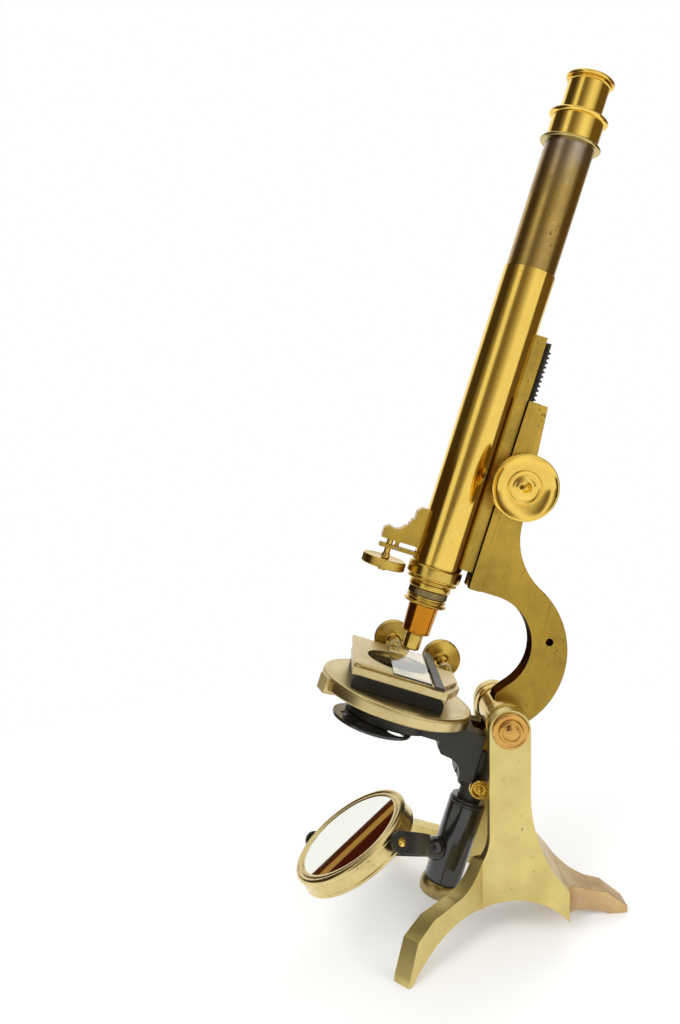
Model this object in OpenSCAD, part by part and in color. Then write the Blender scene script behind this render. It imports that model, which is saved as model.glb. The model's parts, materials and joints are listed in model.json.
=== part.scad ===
/* [Stand] */
// Lean of the body from upright in the pose shown, degrees
incline = 17.9; // [5:0.1:30]
// Height of the trunnion axis above the table
trunnion_h = 138.4; // [132:0.2:160]
// Thickness of each upright plate
upright_t = 9.2; // [6:0.1:12]
// Clear width between the two uprights
upright_gap = 53.2; // [50:0.2:64]
// Width of an upright across its flat front
upright_w = 26.8; // [24:0.2:32]
// Angle at which the front toes are bent outwards, degrees
toe_splay = 46; // [35:1:55]
// Length of a front toe from its bend to its tip
toe_len = 75.5; // [60:0.5:90]
// Thickness of a front toe at its tip
toe_tip_t = 12.4; // [9.5:0.1:15]
// Reach of the rear foot behind the trunnion axis
rear_reach = 85.3; // [75:0.1:100]
// Width of the rear foot at its tip
rear_tip_w = 17; // [14:0.5:24]
// Radius of the trunnion pin
trunnion_r = 5; // [3.5:0.1:6]
// Radius of the lacquered trunnion caps
cap_r = 11.9; // [9:0.1:12.8]

/* [Limb] */
// Distance from the optical axis back to the trunnion axis
pivot_back = 72.3; // [68:0.1:80]
// Height of the top of the limb above the trunnion
limb_top = 205.4; // [190:0.2:225]
// Thickness of the limb between its flat faces
limb_t = 16; // [12:0.2:20]
// Width of the raised guide down the front of the limb
guide_w = 24; // [20:0.2:30]
// Radius of the open bow of the limb
bow_r = 33.3; // [30:0.1:34.5]
// Radius of the outside of the bow
bow_outer_r = 57.5; // [55:0.1:60]
// Radius of the accessory hole through the bow
limb_hole_r = 2.5; // [1.5:0.1:4]

/* [Body tube] */
// Outside radius of the body tube
tube_r = 17; // [16.6:0.1:18]
// Outside radius of the draw tube
draw_r = 16; // [15:0.1:16.2]
// Height of the lower end of the body tube above the trunnion
tube_bottom = 85.1; // [84:0.1:90]
// Length of the body tube
tube_len = 200.2; // [185:0.2:215]
// How far the draw tube stands out of the body tube
draw_out = 81.1; // [50:0.1:95]
// Length of the draw tube held inside the body tube
draw_in = 68; // [50:1:80]
// Radius of the collar on the draw tube
draw_collar_r = 19.9; // [18:0.1:22]

/* [Eyepiece] */
// Radius of the sleeve that holds the eyepiece
holder_r = 16.9; // [16:0.1:18]
// Height of that sleeve, flange included
holder_h = 17; // [12:0.5:24]
// Outside radius of the eyepiece barrel
eye_r = 13.4; // [12:0.1:14]
// Height of the eyepiece above its sleeve
eye_h = 25; // [20:0.5:32]
// Radius of the eyepiece's top flange
eye_flange_r = 15.7; // [14.8:0.1:18]

/* [Focusing] */
// Teeth on the coarse pinion
pinion_teeth = 11; // [10:1:13]
// Module of the rack and pinion teeth
tooth_module = 1; // [0.9:0.05:1.1]
// Height of the pinion axis above the trunnion
pinion_up = 151; // [140:0.5:170]
// Radius of the coarse milled heads
coarse_r = 21.3; // [16:0.1:24]
// Radius of the fine focusing head
fine_r = 14.8; // [11:0.1:16]
// Distance of the fine screw in front of the optical axis
fine_out = 34.7; // [33:0.1:37]

/* [Objective] */
// Outside radius of the sliding nose tube
nose_r = 13.1; // [12:0.1:14]
// Radius of the objective's mounting flange
objective_flange_r = 14.3; // [13.4:0.1:16]
// Radius of the objective barrel at its top
objective_r = 9.9; // [8.5:0.1:11]
// Height of the objective's front above the trunnion
objective_front = 24.8; // [22:0.1:28]

/* [Stage] */
// Radius of the round stage
stage_r = 52.2; // [48:0.1:56]
// Thickness of the round stage
stage_t = 9; // [7:0.1:10]
// Height of the stage's top face above the trunnion, below it when negative
stage_top = -3.3; // [-5:0.1:-2]
// Radius of the light opening through the stage
light_r = 11; // [8:0.1:12]
// Thickness of the dark block on the stage
block_t = 8; // [6:0.1:9]
// Thickness of the lower moving plate
lower_t = 5; // [4:0.1:6]
// Thickness of the upper moving plate
upper_t = 2.6; // [2:0.1:3.4]
// Radius of the round opening in the upper plate
window_r = 22; // [18:0.5:24]
// Radius of the two stage heads
head_r = 14.2; // [11:0.1:15]
// Radius of the wheel of apertures
wheel_r = 27.5; // [26:0.1:30]

/* [Mirror] */
// Distance from the optical axis back to the tail stem
tail_back = 69.5; // [68:0.1:71]
// Outside radius of the sleeve on the tail stem
sleeve_r = 12.6; // [12:0.1:14]
// Length of the dark sleeve
sleeve_len = 59; // [50:0.5:60]
// Outside radius of the mirror's cell
mirror_r = 42; // [36:0.2:44]
// Depth of the mirror's cell
mirror_t = 14; // [10:0.2:16]
// Distance from the ball of the mirror's arm to the middle of the mirror
mirror_reach = 64.1; // [60:0.1:70]
// Rise of the mirror's arm from its ball, degrees
mirror_rise = 2.8; // [0:0.2:6]
// Turn of the mirror about the tail stem, degrees
mirror_swing = 29.4; // [20:0.2:36]
// Roll of the mirror's fork about its ball stud, degrees
fork_roll = 30; // [20:1:40]
// Tilt of the mirror in its fork, degrees
mirror_tilt = 47; // [40:1:55]

/* [Hidden] */
$fn = 72;
// Running fit of a shaft in its bore, and of flat slides, on the radius or face
run_gap = 0.05;
slide_gap = 0.1;
// Space between pieces of one body that sit on each other
seat_gap = 0.02;
// Space between bodies that pass each other
pass_gap = 0.3;

// Stand, measured from the trunnion axis and the table
outer_y = upright_gap / 2 + upright_t;
rear_x = 38.9;
flare_r = 97;
flare_z = 95;
toe_flare_r = 33;
toe_flare_z = 68;
bend_out = 4.3;
blend = 0.05;
lap = 1;
bend_x = -upright_w / 2 - bend_out;
arch_r = 47;
arch_x = 4;
arch_top = 24.4;
toe_arch_r = 80;
toe_arch_x = 18;
toe_arch_rise = sqrt(pow(toe_arch_r, 2) - pow(toe_arch_x, 2));
toe_top = [[0.67 * toe_len, 32.7], [toe_len - 9.3, 24.7], [toe_len - 1.2, 5]];
web_front = 14;
fillet_r = 25;
bend_top = toe_flare_z - sqrt(pow(toe_flare_r, 2) - pow(toe_flare_r - bend_out, 2));
bend_low = arch_top - arch_r + sqrt(pow(arch_r, 2) - pow(bend_x - arch_x, 2));
rear_edge_z = flare_z - sqrt(pow(flare_r, 2) - pow(upright_w / 2 + flare_r - rear_x, 2));
cap_h = 6;

// Limb, in the frame of the optical axis: x back, z up the tube, origin level with the trunnion
bar_back = tube_r + 6.1;
guide_front = bar_back + slide_gap;
guide_depth = 7.8;
bow_c = [43.5, 43.5];
bow_outer_c = [45, 38];
limb_foot_z = bow_c[1] + bow_r;
back_top = [guide_front + 13.8, limb_top];
back_low = [44.5, 129.4];
back_dir = (back_top - back_low) / norm(back_top - back_low);
back_out = [back_dir[1], -back_dir[0]];
shoulder_r = 45;
shoulder_0 = back_low + back_out * shoulder_r;
shoulder_b = (shoulder_0 - bow_outer_c) * back_dir;
shoulder_t = -shoulder_b + sqrt(pow(shoulder_b, 2) - pow(norm(shoulder_0 - bow_outer_c), 2)
             + pow(shoulder_r + bow_outer_r, 2));
shoulder_c = shoulder_0 + back_dir * shoulder_t;
barrel_r = 9.8;
boss_r = 13;
collar_r = 12.4;
heel_low = -26;
heel_front = 56;
limb_hole = [86.4, 57.6];

// Coarse focus
pitch_r = pinion_teeth * tooth_module / 2;
tooth_pitch = PI * tooth_module;
rack_back = bar_back + 4.9;
pinion_back = rack_back + pitch_r + 0.12;
rack_h = 0.8 * tooth_module;
shaft_r = 3.5;
coarse_y0 = 27;
coarse_y1 = 36;
bar_low = tube_bottom + 2;
bar_top = tube_bottom + 162.4;
rack_top = bar_top - 2.6;
rack_low = bar_low + 1;

// Draw tube, eyepiece and objective
draw_top = tube_bottom + tube_len + draw_out + 3.5;
draw_low = tube_bottom + tube_len - draw_in;
draw_bore = draw_r - 1.5;
eye_top = draw_top + holder_h + eye_h;
eye_low = draw_top - 25;
objective_bore = 10.1;

// Nose and fine focus
nose_top = tube_bottom + 10;
collar_low = tube_bottom - 12;
nose_low = 61.5;
objective_top = nose_low - seat_gap;
objective_h = objective_top - 4.5 - objective_front - 12.2 - seat_gap;
lever_t = 2.6;
lever_z = tube_bottom + 1.1;
lever_play = 1;
lever_arm = 5;
groove_r = 12.2;
block_low = tube_bottom + 7.4;
fine_block_h = 25;
fine_block_w = 13;
fine_z = 75.3;
fine_screw_r = 2.2;

// Stage
stage_low = stage_top - stage_t;
bracket_low = stage_low - 12.5;
boss_out_r = 13.9;
bracket_r = 30;
bracket_w = 42;
bracket_back = 63;
block_top = stage_top + block_t;
lower_z = block_top + slide_gap;
lower_top = lower_z + lower_t;
upper_z = lower_top + slide_gap;
upper_top = upper_z + upper_t;
slip_t = 1.2;
slip_w = 26;
slip_l = 76;
rib_w = 3;
rib_h = 1.3;
plate_travel = 8;
window_c = [-4, 4];
left_head = [-5, 14.5];
right_head = [33.5, 10.5];
head_y = 60;
head_t = 7;
head_shaft_r = 2;
wheel_c = [-11.6, -15.3];
wheel_arm = norm(wheel_c);
wheel_t = 2;
wheel_z = bracket_low - 0.4 - wheel_t;
wheel_turns = [0, 90, 171, 225, 290];
wheel_holes = [8, 6, 1.5, 3, 4.5];

// Tail and mirror
stem_r = 8;
socket_r = 11;
socket_low = -54;
liner_r = 10.4;
stem_top = -34;
stem_low = -122.4;
sleeve_top = -64;
sleeve_low = sleeve_top - sleeve_len;
ferrule_h = 11;
corbel_low = -46;
ball_r = 5.4;
ball_out = sleeve_r + ball_r + 0.5;
ball_z = -100.8;
fork_r = mirror_r + 4;
fork_t = 2.5;
fork_bottom = mirror_reach - fork_r - fork_t;
fork_w = 13;
clamp_z = -48.6;

// Where the mirror's left edge lies, so that the origin can sit at the middle of the base
axis_up = [sin(incline), 0, cos(incline)];
axis_back = [cos(incline), 0, -sin(incline)];
side = [0, 1, 0];
arm_dir = -cos(mirror_swing) * axis_back - sin(mirror_swing) * side;
reach_dir = cos(mirror_rise) * arm_dir + sin(mirror_rise) * axis_up;
arm_side = cross(axis_up, arm_dir);
fork_side = cos(fork_roll) * arm_side + sin(fork_roll) * cross(reach_dir, arm_side);
fork_up = cross(reach_dir, fork_side);
mirror_axis = cos(mirror_tilt) * fork_up + sin(mirror_tilt) * reach_dir;
mirror_c = (tail_back - pivot_back) * axis_back + ball_z * axis_up + ball_out * arm_dir
           + mirror_reach * reach_dir;
mirror_left = mirror_c[0] - mirror_r * sqrt(1 - pow(mirror_axis[0], 2))
              - (mirror_t / 2 - 1) * abs(mirror_axis[0]);
mid_x = (rear_reach + mirror_left) / 2;

module stand_frame() translate([-mid_x, 0, 0]) children();

module limb_frame()
    stand_frame() translate([0, 0, trunnion_h]) rotate([0, incline, 0])
        translate([-pivot_back, 0, 0]) children();

module tail_frame()
    limb_frame() translate([tail_back, 0, 0]) rotate([0, 0, 180 + mirror_swing]) children();

module fork_frame()
    tail_frame() translate([ball_out, 0, ball_z]) rotate([0, -mirror_rise, 0])
        rotate([fork_roll, 0, 0]) children();

module mirror_frame()
    fork_frame() translate([mirror_reach, 0, 0]) rotate([0, mirror_tilt, 0]) children();

// A plate of thickness t, drawn in x and z, astride the plane of symmetry
module slab(t) translate([0, t / 2, 0]) rotate([90, 0, 0]) linear_extrude(t) children();

// A round bar across the plane of symmetry
module crossbar(at, r, len)
    translate([at[0], 0, at[1]]) rotate([90, 0, 0]) cylinder(r = r, h = len, center = true);

// A turned piece on the z axis from its radius and height pairs
module turned(profile) rotate_extrude() polygon(profile);

module tube(r_out, r_in, h)
    difference() {
        cylinder(r = r_out, h = h);
        translate([0, 0, -1]) cylinder(r = r_in, h = h + 2);
    }

// Points along an arc from angle a to angle b
function arc(c, r, a, b, n) = [for (i = [0 : n]) c + r * [cos(a + (b - a) * i / n),
    sin(a + (b - a) * i / n)]];

// Outline of an upright, x back from the trunnion axis and z up from the table
function upright_outline() = concat(
    arc([upright_w / 2 + flare_r, flare_z], flare_r, 180 + acos(1 - (rear_x - upright_w / 2) / flare_r),
        180, 24),
    arc([0, trunnion_h], upright_w / 2, 0, 180, 30),
    arc([-upright_w / 2 - toe_flare_r, toe_flare_z], toe_flare_r, 0,
        -acos((toe_flare_r - bend_out) / toe_flare_r), 10),
    arc([arch_x, arch_top - arch_r], arch_r, 180 - acos((arch_x - bend_x) / arch_r),
        acos((rear_x - arch_x) / arch_r), 24));

// Outline of a front toe, measured from its bend
function toe_outline() = concat([[-lap, bend_low + lap], [-lap, bend_top - lap]],
    arc([toe_flare_r - bend_out, toe_flare_z], toe_flare_r,
        180 + acos((toe_flare_r - bend_out - lap / 3) / toe_flare_r), 270, 16),
    toe_top, [[toe_len, 0]],
    arc([toe_arch_x, bend_low - toe_arch_rise], toe_arch_r,
        asin((toe_arch_rise - bend_low) / toe_arch_r),
        90 + asin((toe_arch_x - lap / 3) / toe_arch_r), 24));

// The near upright with its outward toe; the far one is its mirror image
module upright()
    difference() {
        union() {
            translate([0, -upright_gap / 2, 0]) rotate([90, 0, 0]) linear_extrude(upright_t)
                polygon(upright_outline());
            translate([bend_x, -outer_y, 0]) {
                translate([0, 0, bend_low + blend]) linear_extrude(bend_top - bend_low - 4 * blend)
                    polygon(concat([[lap, lap], [lap, upright_t - blend]],
                        arc([0, 0], upright_t - blend, 90, 90 + toe_splay, 4),
                        [[-sin(toe_splay), lap]]));
                rotate([0, 0, 180 + toe_splay]) intersection() {
                    rotate([90, 0, 0]) linear_extrude(toe_tip_t + 1) polygon(toe_outline());
                    linear_extrude(100) polygon([[-lap, 0], [toe_len + 1, 0],
                        [toe_len + 1, -toe_tip_t], [-lap, -upright_t]]);
                }
            }
        }
        crossbar([0, trunnion_h], trunnion_r + seat_gap, 2 * outer_y + 2);
    }

module near_upright() color("goldenrod") stand_frame() upright();

module far_upright() color("goldenrod") stand_frame() mirror([0, 1, 0]) upright();

module rear_profile()
    difference() {
        union() {
            translate([web_front, 2]) square([rear_x - web_front, flare_z - 21]);
            polygon([[rear_x - 1, 9], [rear_x + 9, 6.5], [rear_x + 19, 3.6], [rear_reach - 14, 1.6],
                [rear_reach - 14, 0], [rear_reach, 0], [rear_reach, 4.6], [rear_reach - 14.6, 15.5],
                [rear_x + 21.6, 17.6], [rear_x + 11, 22], [rear_x, rear_edge_z],
                [rear_x - 1, rear_edge_z]]);
        }
        intersection() {
            translate([upright_w / 2 + flare_r, flare_z]) circle(r = flare_r, $fn = 180);
            square([rear_x, 2 * flare_z]);
        }
        translate([arch_x, arch_top - arch_r]) circle(r = arch_r, $fn = 120);
    }

module rear_plan()
    difference() {
        union() {
            translate([0, -upright_gap / 2 + seat_gap]) square([rear_x + seat_gap,
                upright_gap - 2 * seat_gap]);
            polygon([[rear_x + seat_gap, -outer_y], [rear_x + fillet_r, -outer_y],
                [rear_x + fillet_r, -outer_y + fillet_r], [rear_reach + 1, -rear_tip_w / 2],
                [rear_reach + 1, rear_tip_w / 2], [rear_x + fillet_r, outer_y - fillet_r],
                [rear_x + fillet_r, outer_y], [rear_x + seat_gap, outer_y]]);
        }
        for (s = [-1, 1]) translate([rear_x + fillet_r + seat_gap, s * outer_y])
            circle(r = fillet_r, $fn = 120);
    }

module rear_foot()
    color("darkkhaki") stand_frame() intersection() {
        slab(2 * outer_y + 2) rear_profile();
        translate([0, 0, -1]) linear_extrude(200) rear_plan();
    }

module trunnion_pin()
    color("gray") stand_frame() crossbar([0, trunnion_h], trunnion_r, 2 * outer_y);

module trunnion_caps()
    color("sandybrown") stand_frame() for (s = [-1, 1])
        translate([0, s * (outer_y + seat_gap), trunnion_h]) rotate([-90 * s, 0, 0]) difference() {
            turned([[0, 0], [cap_r, 0], [cap_r, 1.4], [cap_r - 0.9, 2.5], [cap_r - 2.2, 2.9],
                [0.68 * cap_r, 2.3], [0.64 * cap_r, 3.4], [0.5 * cap_r, 4.9], [0.3 * cap_r, cap_h - 0.4],
                [0, cap_h]]);
            translate([-0.5, -cap_r, cap_h - 1.4]) cube([1, 2 * cap_r, 2]);
        }

module limb_profile()
    difference() {
        union() {
            polygon([[guide_front + 1, limb_foot_z], [guide_front + 1, limb_top], back_top,
                shoulder_c - back_out * shoulder_r, shoulder_c,
                bow_outer_c + bow_outer_r * (shoulder_c - bow_outer_c) / norm(shoulder_c - bow_outer_c),
                bow_outer_c, [bow_c[0], limb_foot_z]]);
            translate(bow_outer_c) circle(r = bow_outer_r, $fn = 180);
            translate([pivot_back, 0]) circle(r = boss_r);
            translate([heel_front, heel_low]) square([pivot_back + 8 - heel_front, 14 - heel_low]);
        }
        translate(shoulder_c) circle(r = shoulder_r, $fn = 120);
        translate(bow_c) circle(r = bow_r, $fn = 120);
        polygon([[-40, limb_top], [guide_front, limb_top], [guide_front, limb_foot_z],
            bow_c + [0, bow_r], bow_c, bow_c + bow_r * [cos(42), -sin(42)],
            [bracket_back, boss_r + 1], [bracket_back, stage_low + seat_gap],
            [heel_front, stage_low + seat_gap], [heel_front, heel_low - 30], [-40, heel_low - 30]]);
    }

// Dovetail groove or tongue behind the slide bar, widened by g on each face
module dovetail(g, front, low, high)
    translate([0, 0, low]) linear_extrude(high - low)
        polygon([[front, -3.6 - g], [bar_back + 2.9, -4.9 - g], [rack_back - rack_h, -4.9 - g],
            [rack_back - rack_h, 4.9 + g], [bar_back + 2.9, 4.9 + g], [front, 3.6 + g]]);

module limb()
    color("goldenrod") limb_frame() difference() {
        union() {
            slab(limb_t) limb_profile();
            slab(guide_w) translate([guide_front, limb_foot_z]) square([guide_depth,
                limb_top - limb_foot_z]);
            crossbar([pivot_back, 0], barrel_r, upright_gap - 2 * pass_gap);
        }
        dovetail(slide_gap, bar_back - 1, limb_foot_z - 1, limb_top + 1);
        translate([rack_back - rack_h - 1, -5, limb_foot_z - 1])
            cube([1 + 2 * rack_h + 0.6, 10, limb_top - limb_foot_z + 2]);
        crossbar([pinion_back, pinion_up], pitch_r + tooth_module + 0.6, 10);
        crossbar([pinion_back, pinion_up], shaft_r + run_gap, 60);
        crossbar([pivot_back, 0], trunnion_r + run_gap, upright_gap + 2);
        crossbar(limb_hole, limb_hole_r, limb_t + 2);
    }

module barrel_collars()
    color("gold") limb_frame() for (s = [-1, 1])
        translate([pivot_back, s * (upright_gap / 2 - pass_gap), 0]) rotate([90 * s, 0, 0])
            turned([[barrel_r + seat_gap, 0], [collar_r, 0], [collar_r, 2.2], [collar_r - 0.7, 2.7],
                [collar_r - 0.7, 3.3], [collar_r, 3.8], [collar_r, 5.6], [collar_r - 0.8, 6.4],
                [barrel_r + seat_gap, 7]]);

module corbel_profile()
    difference() {
        polygon([[34, bracket_low + 1], [34, bracket_low - 3.7], [37.5, bracket_low - 7.8],
            [42, bracket_low - 8.5], [42, corbel_low], [bracket_back, corbel_low],
            [bracket_back, bracket_low + 1]]);
        translate([42, bracket_low - 20.2]) circle(r = 11.7);
    }

module stage_bracket()
    color("darkslategray") limb_frame() difference() {
        union() {
            translate([0, 0, bracket_low]) linear_extrude(stage_low - bracket_low - slide_gap) {
                circle(r = bracket_r);
                translate([0, -bracket_w / 2]) square([bracket_back, bracket_w]);
            }
            slab(bracket_w) corbel_profile();
            translate([bracket_back - 10, -limb_t / 2, corbel_low])
                cube([tail_back - bracket_back + 10, limb_t, heel_low - corbel_low - seat_gap]);
            translate([tail_back, 0, socket_low]) cylinder(r = socket_r,
                h = heel_low - socket_low - seat_gap);
        }
        translate([heel_front - seat_gap, -limb_t / 2 - seat_gap, heel_low - seat_gap])
            cube([60, limb_t + 2 * seat_gap, 60]);
        translate([0, 0, bracket_low - 1]) cylinder(r = boss_out_r + run_gap, h = 30);
        translate([0, 0, bracket_low - 1]) cylinder(r = 16.1, h = 3.4);
        translate([tail_back, 0, socket_low - 1])
            cylinder(r = stem_r + seat_gap, h = stem_top + seat_gap - socket_low + 1);
        translate([tail_back, 0, clamp_z]) rotate([90, 0, 0]) cylinder(r = 2.5 + run_gap, h = 30);
        translate([wheel_c[0], wheel_c[1], bracket_low - 1]) cylinder(r = 1.5 + seat_gap, h = 9);
    }

module tail_stem()
    color("dimgray") limb_frame() translate([tail_back, 0, stem_low])
        cylinder(r = stem_r, h = stem_top - stem_low);

module tail_clamp_screw()
    color("sandybrown") limb_frame() translate([tail_back, 0, clamp_z]) rotate([90, 0, 0]) {
        translate([0, 0, stem_r + 0.1]) cylinder(r = 2.5, h = 8);
        translate([0, 0, socket_r + 4]) turned([[0, 0], [4, 0], [4, 1.2], [6.7, 1.8], [6.7, 5.4],
            [5.9, 6.2],
            [4.8, 6.2], [4.2, 5.4], [3, 5.6], [2, 6.6], [0, 6.9]]);
    }

module body_tube()
    color("gold") limb_frame() difference() {
        translate([0, 0, tube_bottom]) cylinder(r = tube_r, h = tube_len);
        translate([0, 0, tube_bottom - 1]) cylinder(r = draw_r + run_gap, h = tube_len + 2);
        translate([-tube_r - 2, -fine_block_w / 2 + 2, lever_z - lever_play])
            cube([8, fine_block_w - 4, lever_t + 2 * lever_play]);
    }

module slide_bar()
    color("gold") limb_frame() difference() {
        translate([tube_r - 2, -8, bar_low]) cube([bar_back - tube_r + 2, 16, bar_top - bar_low]);
        translate([0, 0, bar_low - 1]) cylinder(r = tube_r + seat_gap, h = bar_top - bar_low + 2);
    }

function rack_tooth(z) = [[rack_back - rack_h, z - 0.92 * tooth_module],
    [rack_back + rack_h, z - 0.3 * tooth_module],
    [rack_back + rack_h, z + 0.3 * tooth_module], [rack_back - rack_h, z + 0.92 * tooth_module]];

module rack()
    color("black") limb_frame() {
        first = ceil((rack_low - pinion_up) / tooth_pitch) + 1;
        last = floor((rack_top - pinion_up) / tooth_pitch) - 1;
        dovetail(0, bar_back + seat_gap, rack_low, rack_top);
        slab(8) polygon(concat([[rack_back - rack_h - 1, rack_low]],
            [for (i = [first : last]) for (p = rack_tooth(pinion_up + i * tooth_pitch)) p],
            [[rack_back - rack_h - 1, rack_top]]));
    }

function pinion_tooth(a) = [for (q = [[pitch_r - 1.05 * tooth_module, -0.95], [pitch_r, -0.68],
    [pitch_r + 0.75 * tooth_module, -0.28], [pitch_r + 0.75 * tooth_module, 0.28], [pitch_r, 0.68],
    [pitch_r - 1.05 * tooth_module, 0.95]])
    [q[0] * cos(a) - q[1] * tooth_module * sin(a), q[0] * sin(a) + q[1] * tooth_module * cos(a)]];

module coarse_pinion()
    color("gray") limb_frame() translate([pinion_back, 0, pinion_up]) {
        rotate([90, 0, 0]) translate([0, 0, -4]) linear_extrude(8)
            polygon([for (i = [0 : pinion_teeth - 1])
                for (p = pinion_tooth(180 + (i + 0.5) * 360 / pinion_teeth)) p]);
        rotate([90, 0, 0]) cylinder(r = shaft_r, h = 2 * coarse_y1 - 6, center = true);
    }

module coarse_heads()
    color("gold") limb_frame() for (s = [-1, 1])
        translate([pinion_back, s * coarse_y0, pinion_up]) rotate([-90 * s, 0, 0]) {
            difference() {
                turned([[0, -8], [6, -8], [6, -2], [9, 0], [coarse_r - 1.2, 0], [coarse_r, 1],
                    [coarse_r, 5.2],
                    [coarse_r - 0.6, 5.8], [coarse_r - 0.6, 6.6], [coarse_r, 7], [coarse_r, 8.2],
                        [coarse_r - 1, 9],
                    [coarse_r - 2.4, 8.6], [0.82 * coarse_r, 6.9], [0.6 * coarse_r, 5],
                        [0.56 * coarse_r, 5],
                    [0.54 * coarse_r, 6.2], [0.5 * coarse_r, 6.6], [0.36 * coarse_r, 5.2],
                        [0.32 * coarse_r, 4.6],
                    [0.3 * coarse_r, 5.8], [0.2 * coarse_r, 7.4], [0.08 * coarse_r, 9.4], [0, 9.8]]);
                translate([0, 0, -9]) cylinder(r = shaft_r + seat_gap,
                    h = 9 + (coarse_y1 - 3 - coarse_y0));
            }
        }

module nose_collar()
    color("gold") limb_frame() difference() {
        turned([[nose_r + run_gap, collar_low], [tube_r + 0.2, collar_low],
            [tube_r + 0.2, collar_low + 1.2],
            [tube_r - 0.9, collar_low + 1.6], [tube_r - 0.9, collar_low + 2.6],
                [tube_r + 1.3, collar_low + 3],
            [tube_r + 1.3, collar_low + 9.6], [tube_r + 0.6, collar_low + 10.4],
                [tube_r - 0.6, collar_low + 10.8],
            [tube_r - 0.6, tube_bottom - seat_gap], [nose_r + run_gap, tube_bottom - seat_gap]]);
    }

module fine_profile()
    difference() {
        polygon([[-fine_out - 6.6, block_low], [-tube_r + 2, block_low],
            [-tube_r + 2, block_low + fine_block_h + 1],
            [-tube_r - 3.5, block_low + fine_block_h + 1], [-tube_r - 6.4, block_low + fine_block_h - 2],
            [-tube_r - 6.4, block_low + 17.6], [-tube_r - 8.2, block_low + 16.6],
                [-tube_r - 8.2, block_low + 14.6],
            [-tube_r - 9.4, block_low + 14.2], [-tube_r - 9.4, block_low + 11.6],
                [-tube_r - 17, block_low + 11.6],
            [-fine_out - 6.6, block_low + 6.4]]);
        translate([-tube_r - 17.2, block_low + 14.2]) circle(r = 6.6);
    }

module fine_block()
    color("gold") limb_frame() difference() {
        union() {
            slab(fine_block_w) fine_profile();
            translate([lever_arm - fine_out - 1.5, -1.4, lever_z + 0.4])
                cube([3, 2.8, block_low - lever_z + 1]);
        }
        crossbar([lever_arm - fine_out, lever_z + lever_t / 2], 0.8 + seat_gap, 10);
        translate([0, 0, block_low - 1]) cylinder(r = tube_r + seat_gap, h = 40);
        translate([-fine_out, 0, block_low - 1]) cylinder(r = fine_screw_r + run_gap, h = 6.2);
    }

module fine_lever()
    color("gold") limb_frame() difference() {
        translate([-fine_out - 6.6, -fine_block_w / 2 + 2.3, lever_z])
            cube([fine_out + 6.6 - groove_r - 0.4, fine_block_w - 4.6, lever_t]);
        translate([-fine_out, 0, lever_z - 1]) cylinder(r = fine_screw_r + 0.5, h = lever_t + 2);
        translate([lever_arm - fine_out - 1.8, -1.6, lever_z - 1]) cube([3.6, 3.2, lever_t + 2]);
        crossbar([lever_arm - fine_out, lever_z + lever_t / 2], 0.8 + run_gap, 20);
    }

module lever_pin()
    color("gray") limb_frame() crossbar([lever_arm - fine_out, lever_z + lever_t / 2], 0.8,
        fine_block_w - 4.6);

module fine_head()
    color("gold") limb_frame() translate([-fine_out, 0, 0]) {
        translate([0, 0, fine_z]) turned([[0, 0], [3, 0], [3, -2.4], [4.2, -2.8], [4.2, -4.2],
            [3.4, -4.6], [0, -4.6],
            [0, 0]]);
        translate([0, 0, fine_z]) turned([[0, 0], [fine_r - 3.4, 0], [fine_r - 2.6, 0.5],
            [fine_r - 0.5, 0.2],
            [fine_r, 0.7], [fine_r, 3.9], [fine_r - 0.5, 4.4], [fine_r - 2.6, 4.1], [fine_r - 3.4, 3.6],
                [4.6, 3.6],
            [4.2, 4.4], [4.2, 6.4], [3.2, 7], [0, 7]]);
        translate([0, 0, fine_z + 6.9]) cylinder(r = fine_screw_r, h = block_low + 5 - fine_z - 6.9);
    }

module draw_tube()
    color("slategray") limb_frame() translate([0, 0, draw_low])
        tube(draw_r, draw_bore, draw_top - draw_low);

module draw_collar()
    color("gold") limb_frame() translate([0, 0, draw_top - 3.5])
        turned([[draw_r + seat_gap, 0], [draw_collar_r - 1, 0], [draw_collar_r, 1], [draw_collar_r, 3.5],
            [draw_r + seat_gap, 3.5]]);

module eyepiece_holder()
    color("gold") limb_frame() translate([0, 0, draw_top])
        turned([[eye_r + run_gap, -15], [draw_bore - seat_gap, -15], [draw_bore - seat_gap, seat_gap],
            [holder_r, seat_gap], [holder_r, holder_h - 3.4], [holder_r + 1.2, holder_h - 3],
            [holder_r + 2.4, holder_h - 2.4], [holder_r + 2.4, holder_h - 0.5],
            [holder_r + 1.9, holder_h], [eye_r + run_gap, holder_h]]);

module eyepiece_barrel()
    color("gold") limb_frame() difference() {
        union() {
            translate([0, 0, eye_low]) cylinder(r = eye_r, h = eye_top - 3 - eye_low);
            translate([0, 0, eye_top - 5.4])
                turned([[eye_r - 1, 0], [eye_r, 0], [eye_r + 1.2, 0.6], [eye_r + 1.2, 1.6],
                    [eye_r, 2.2], [eye_r - 1, 2.2]]);
        }
        translate([0, 0, eye_low - 1]) cylinder(r = eye_r - 1.1, h = eye_top - eye_low);
    }

module eyepiece_cap()
    color("gold") limb_frame() translate([0, 0, eye_top - 3 + seat_gap])
        turned([[5.6, 0.2], [5.6, -2.8], [9.2, -2.8], [9.2, 0], [eye_flange_r - 0.5, 0],
            [eye_flange_r, 0.5], [eye_flange_r, 2.2], [eye_flange_r - 1, 2.98], [9, 2.98], [5.2, 1.4],
            [5.2, 0.2]]);

module eye_lens()
    color("lightcyan") limb_frame() translate([0, 0, eye_top - 5.8])
        turned([[0, 0], [5.5, 0], [5.5, 1.4], [3.8, 2.2], [2, 2.7], [0, 2.9]]);

module field_lens()
    color("lightcyan") limb_frame() translate([0, 0, eye_low + 1])
        turned([[0, 0], [11.5, 0], [11.5, 1.6], [9, 3], [6, 4], [3, 4.6], [0, 4.8]]);

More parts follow.
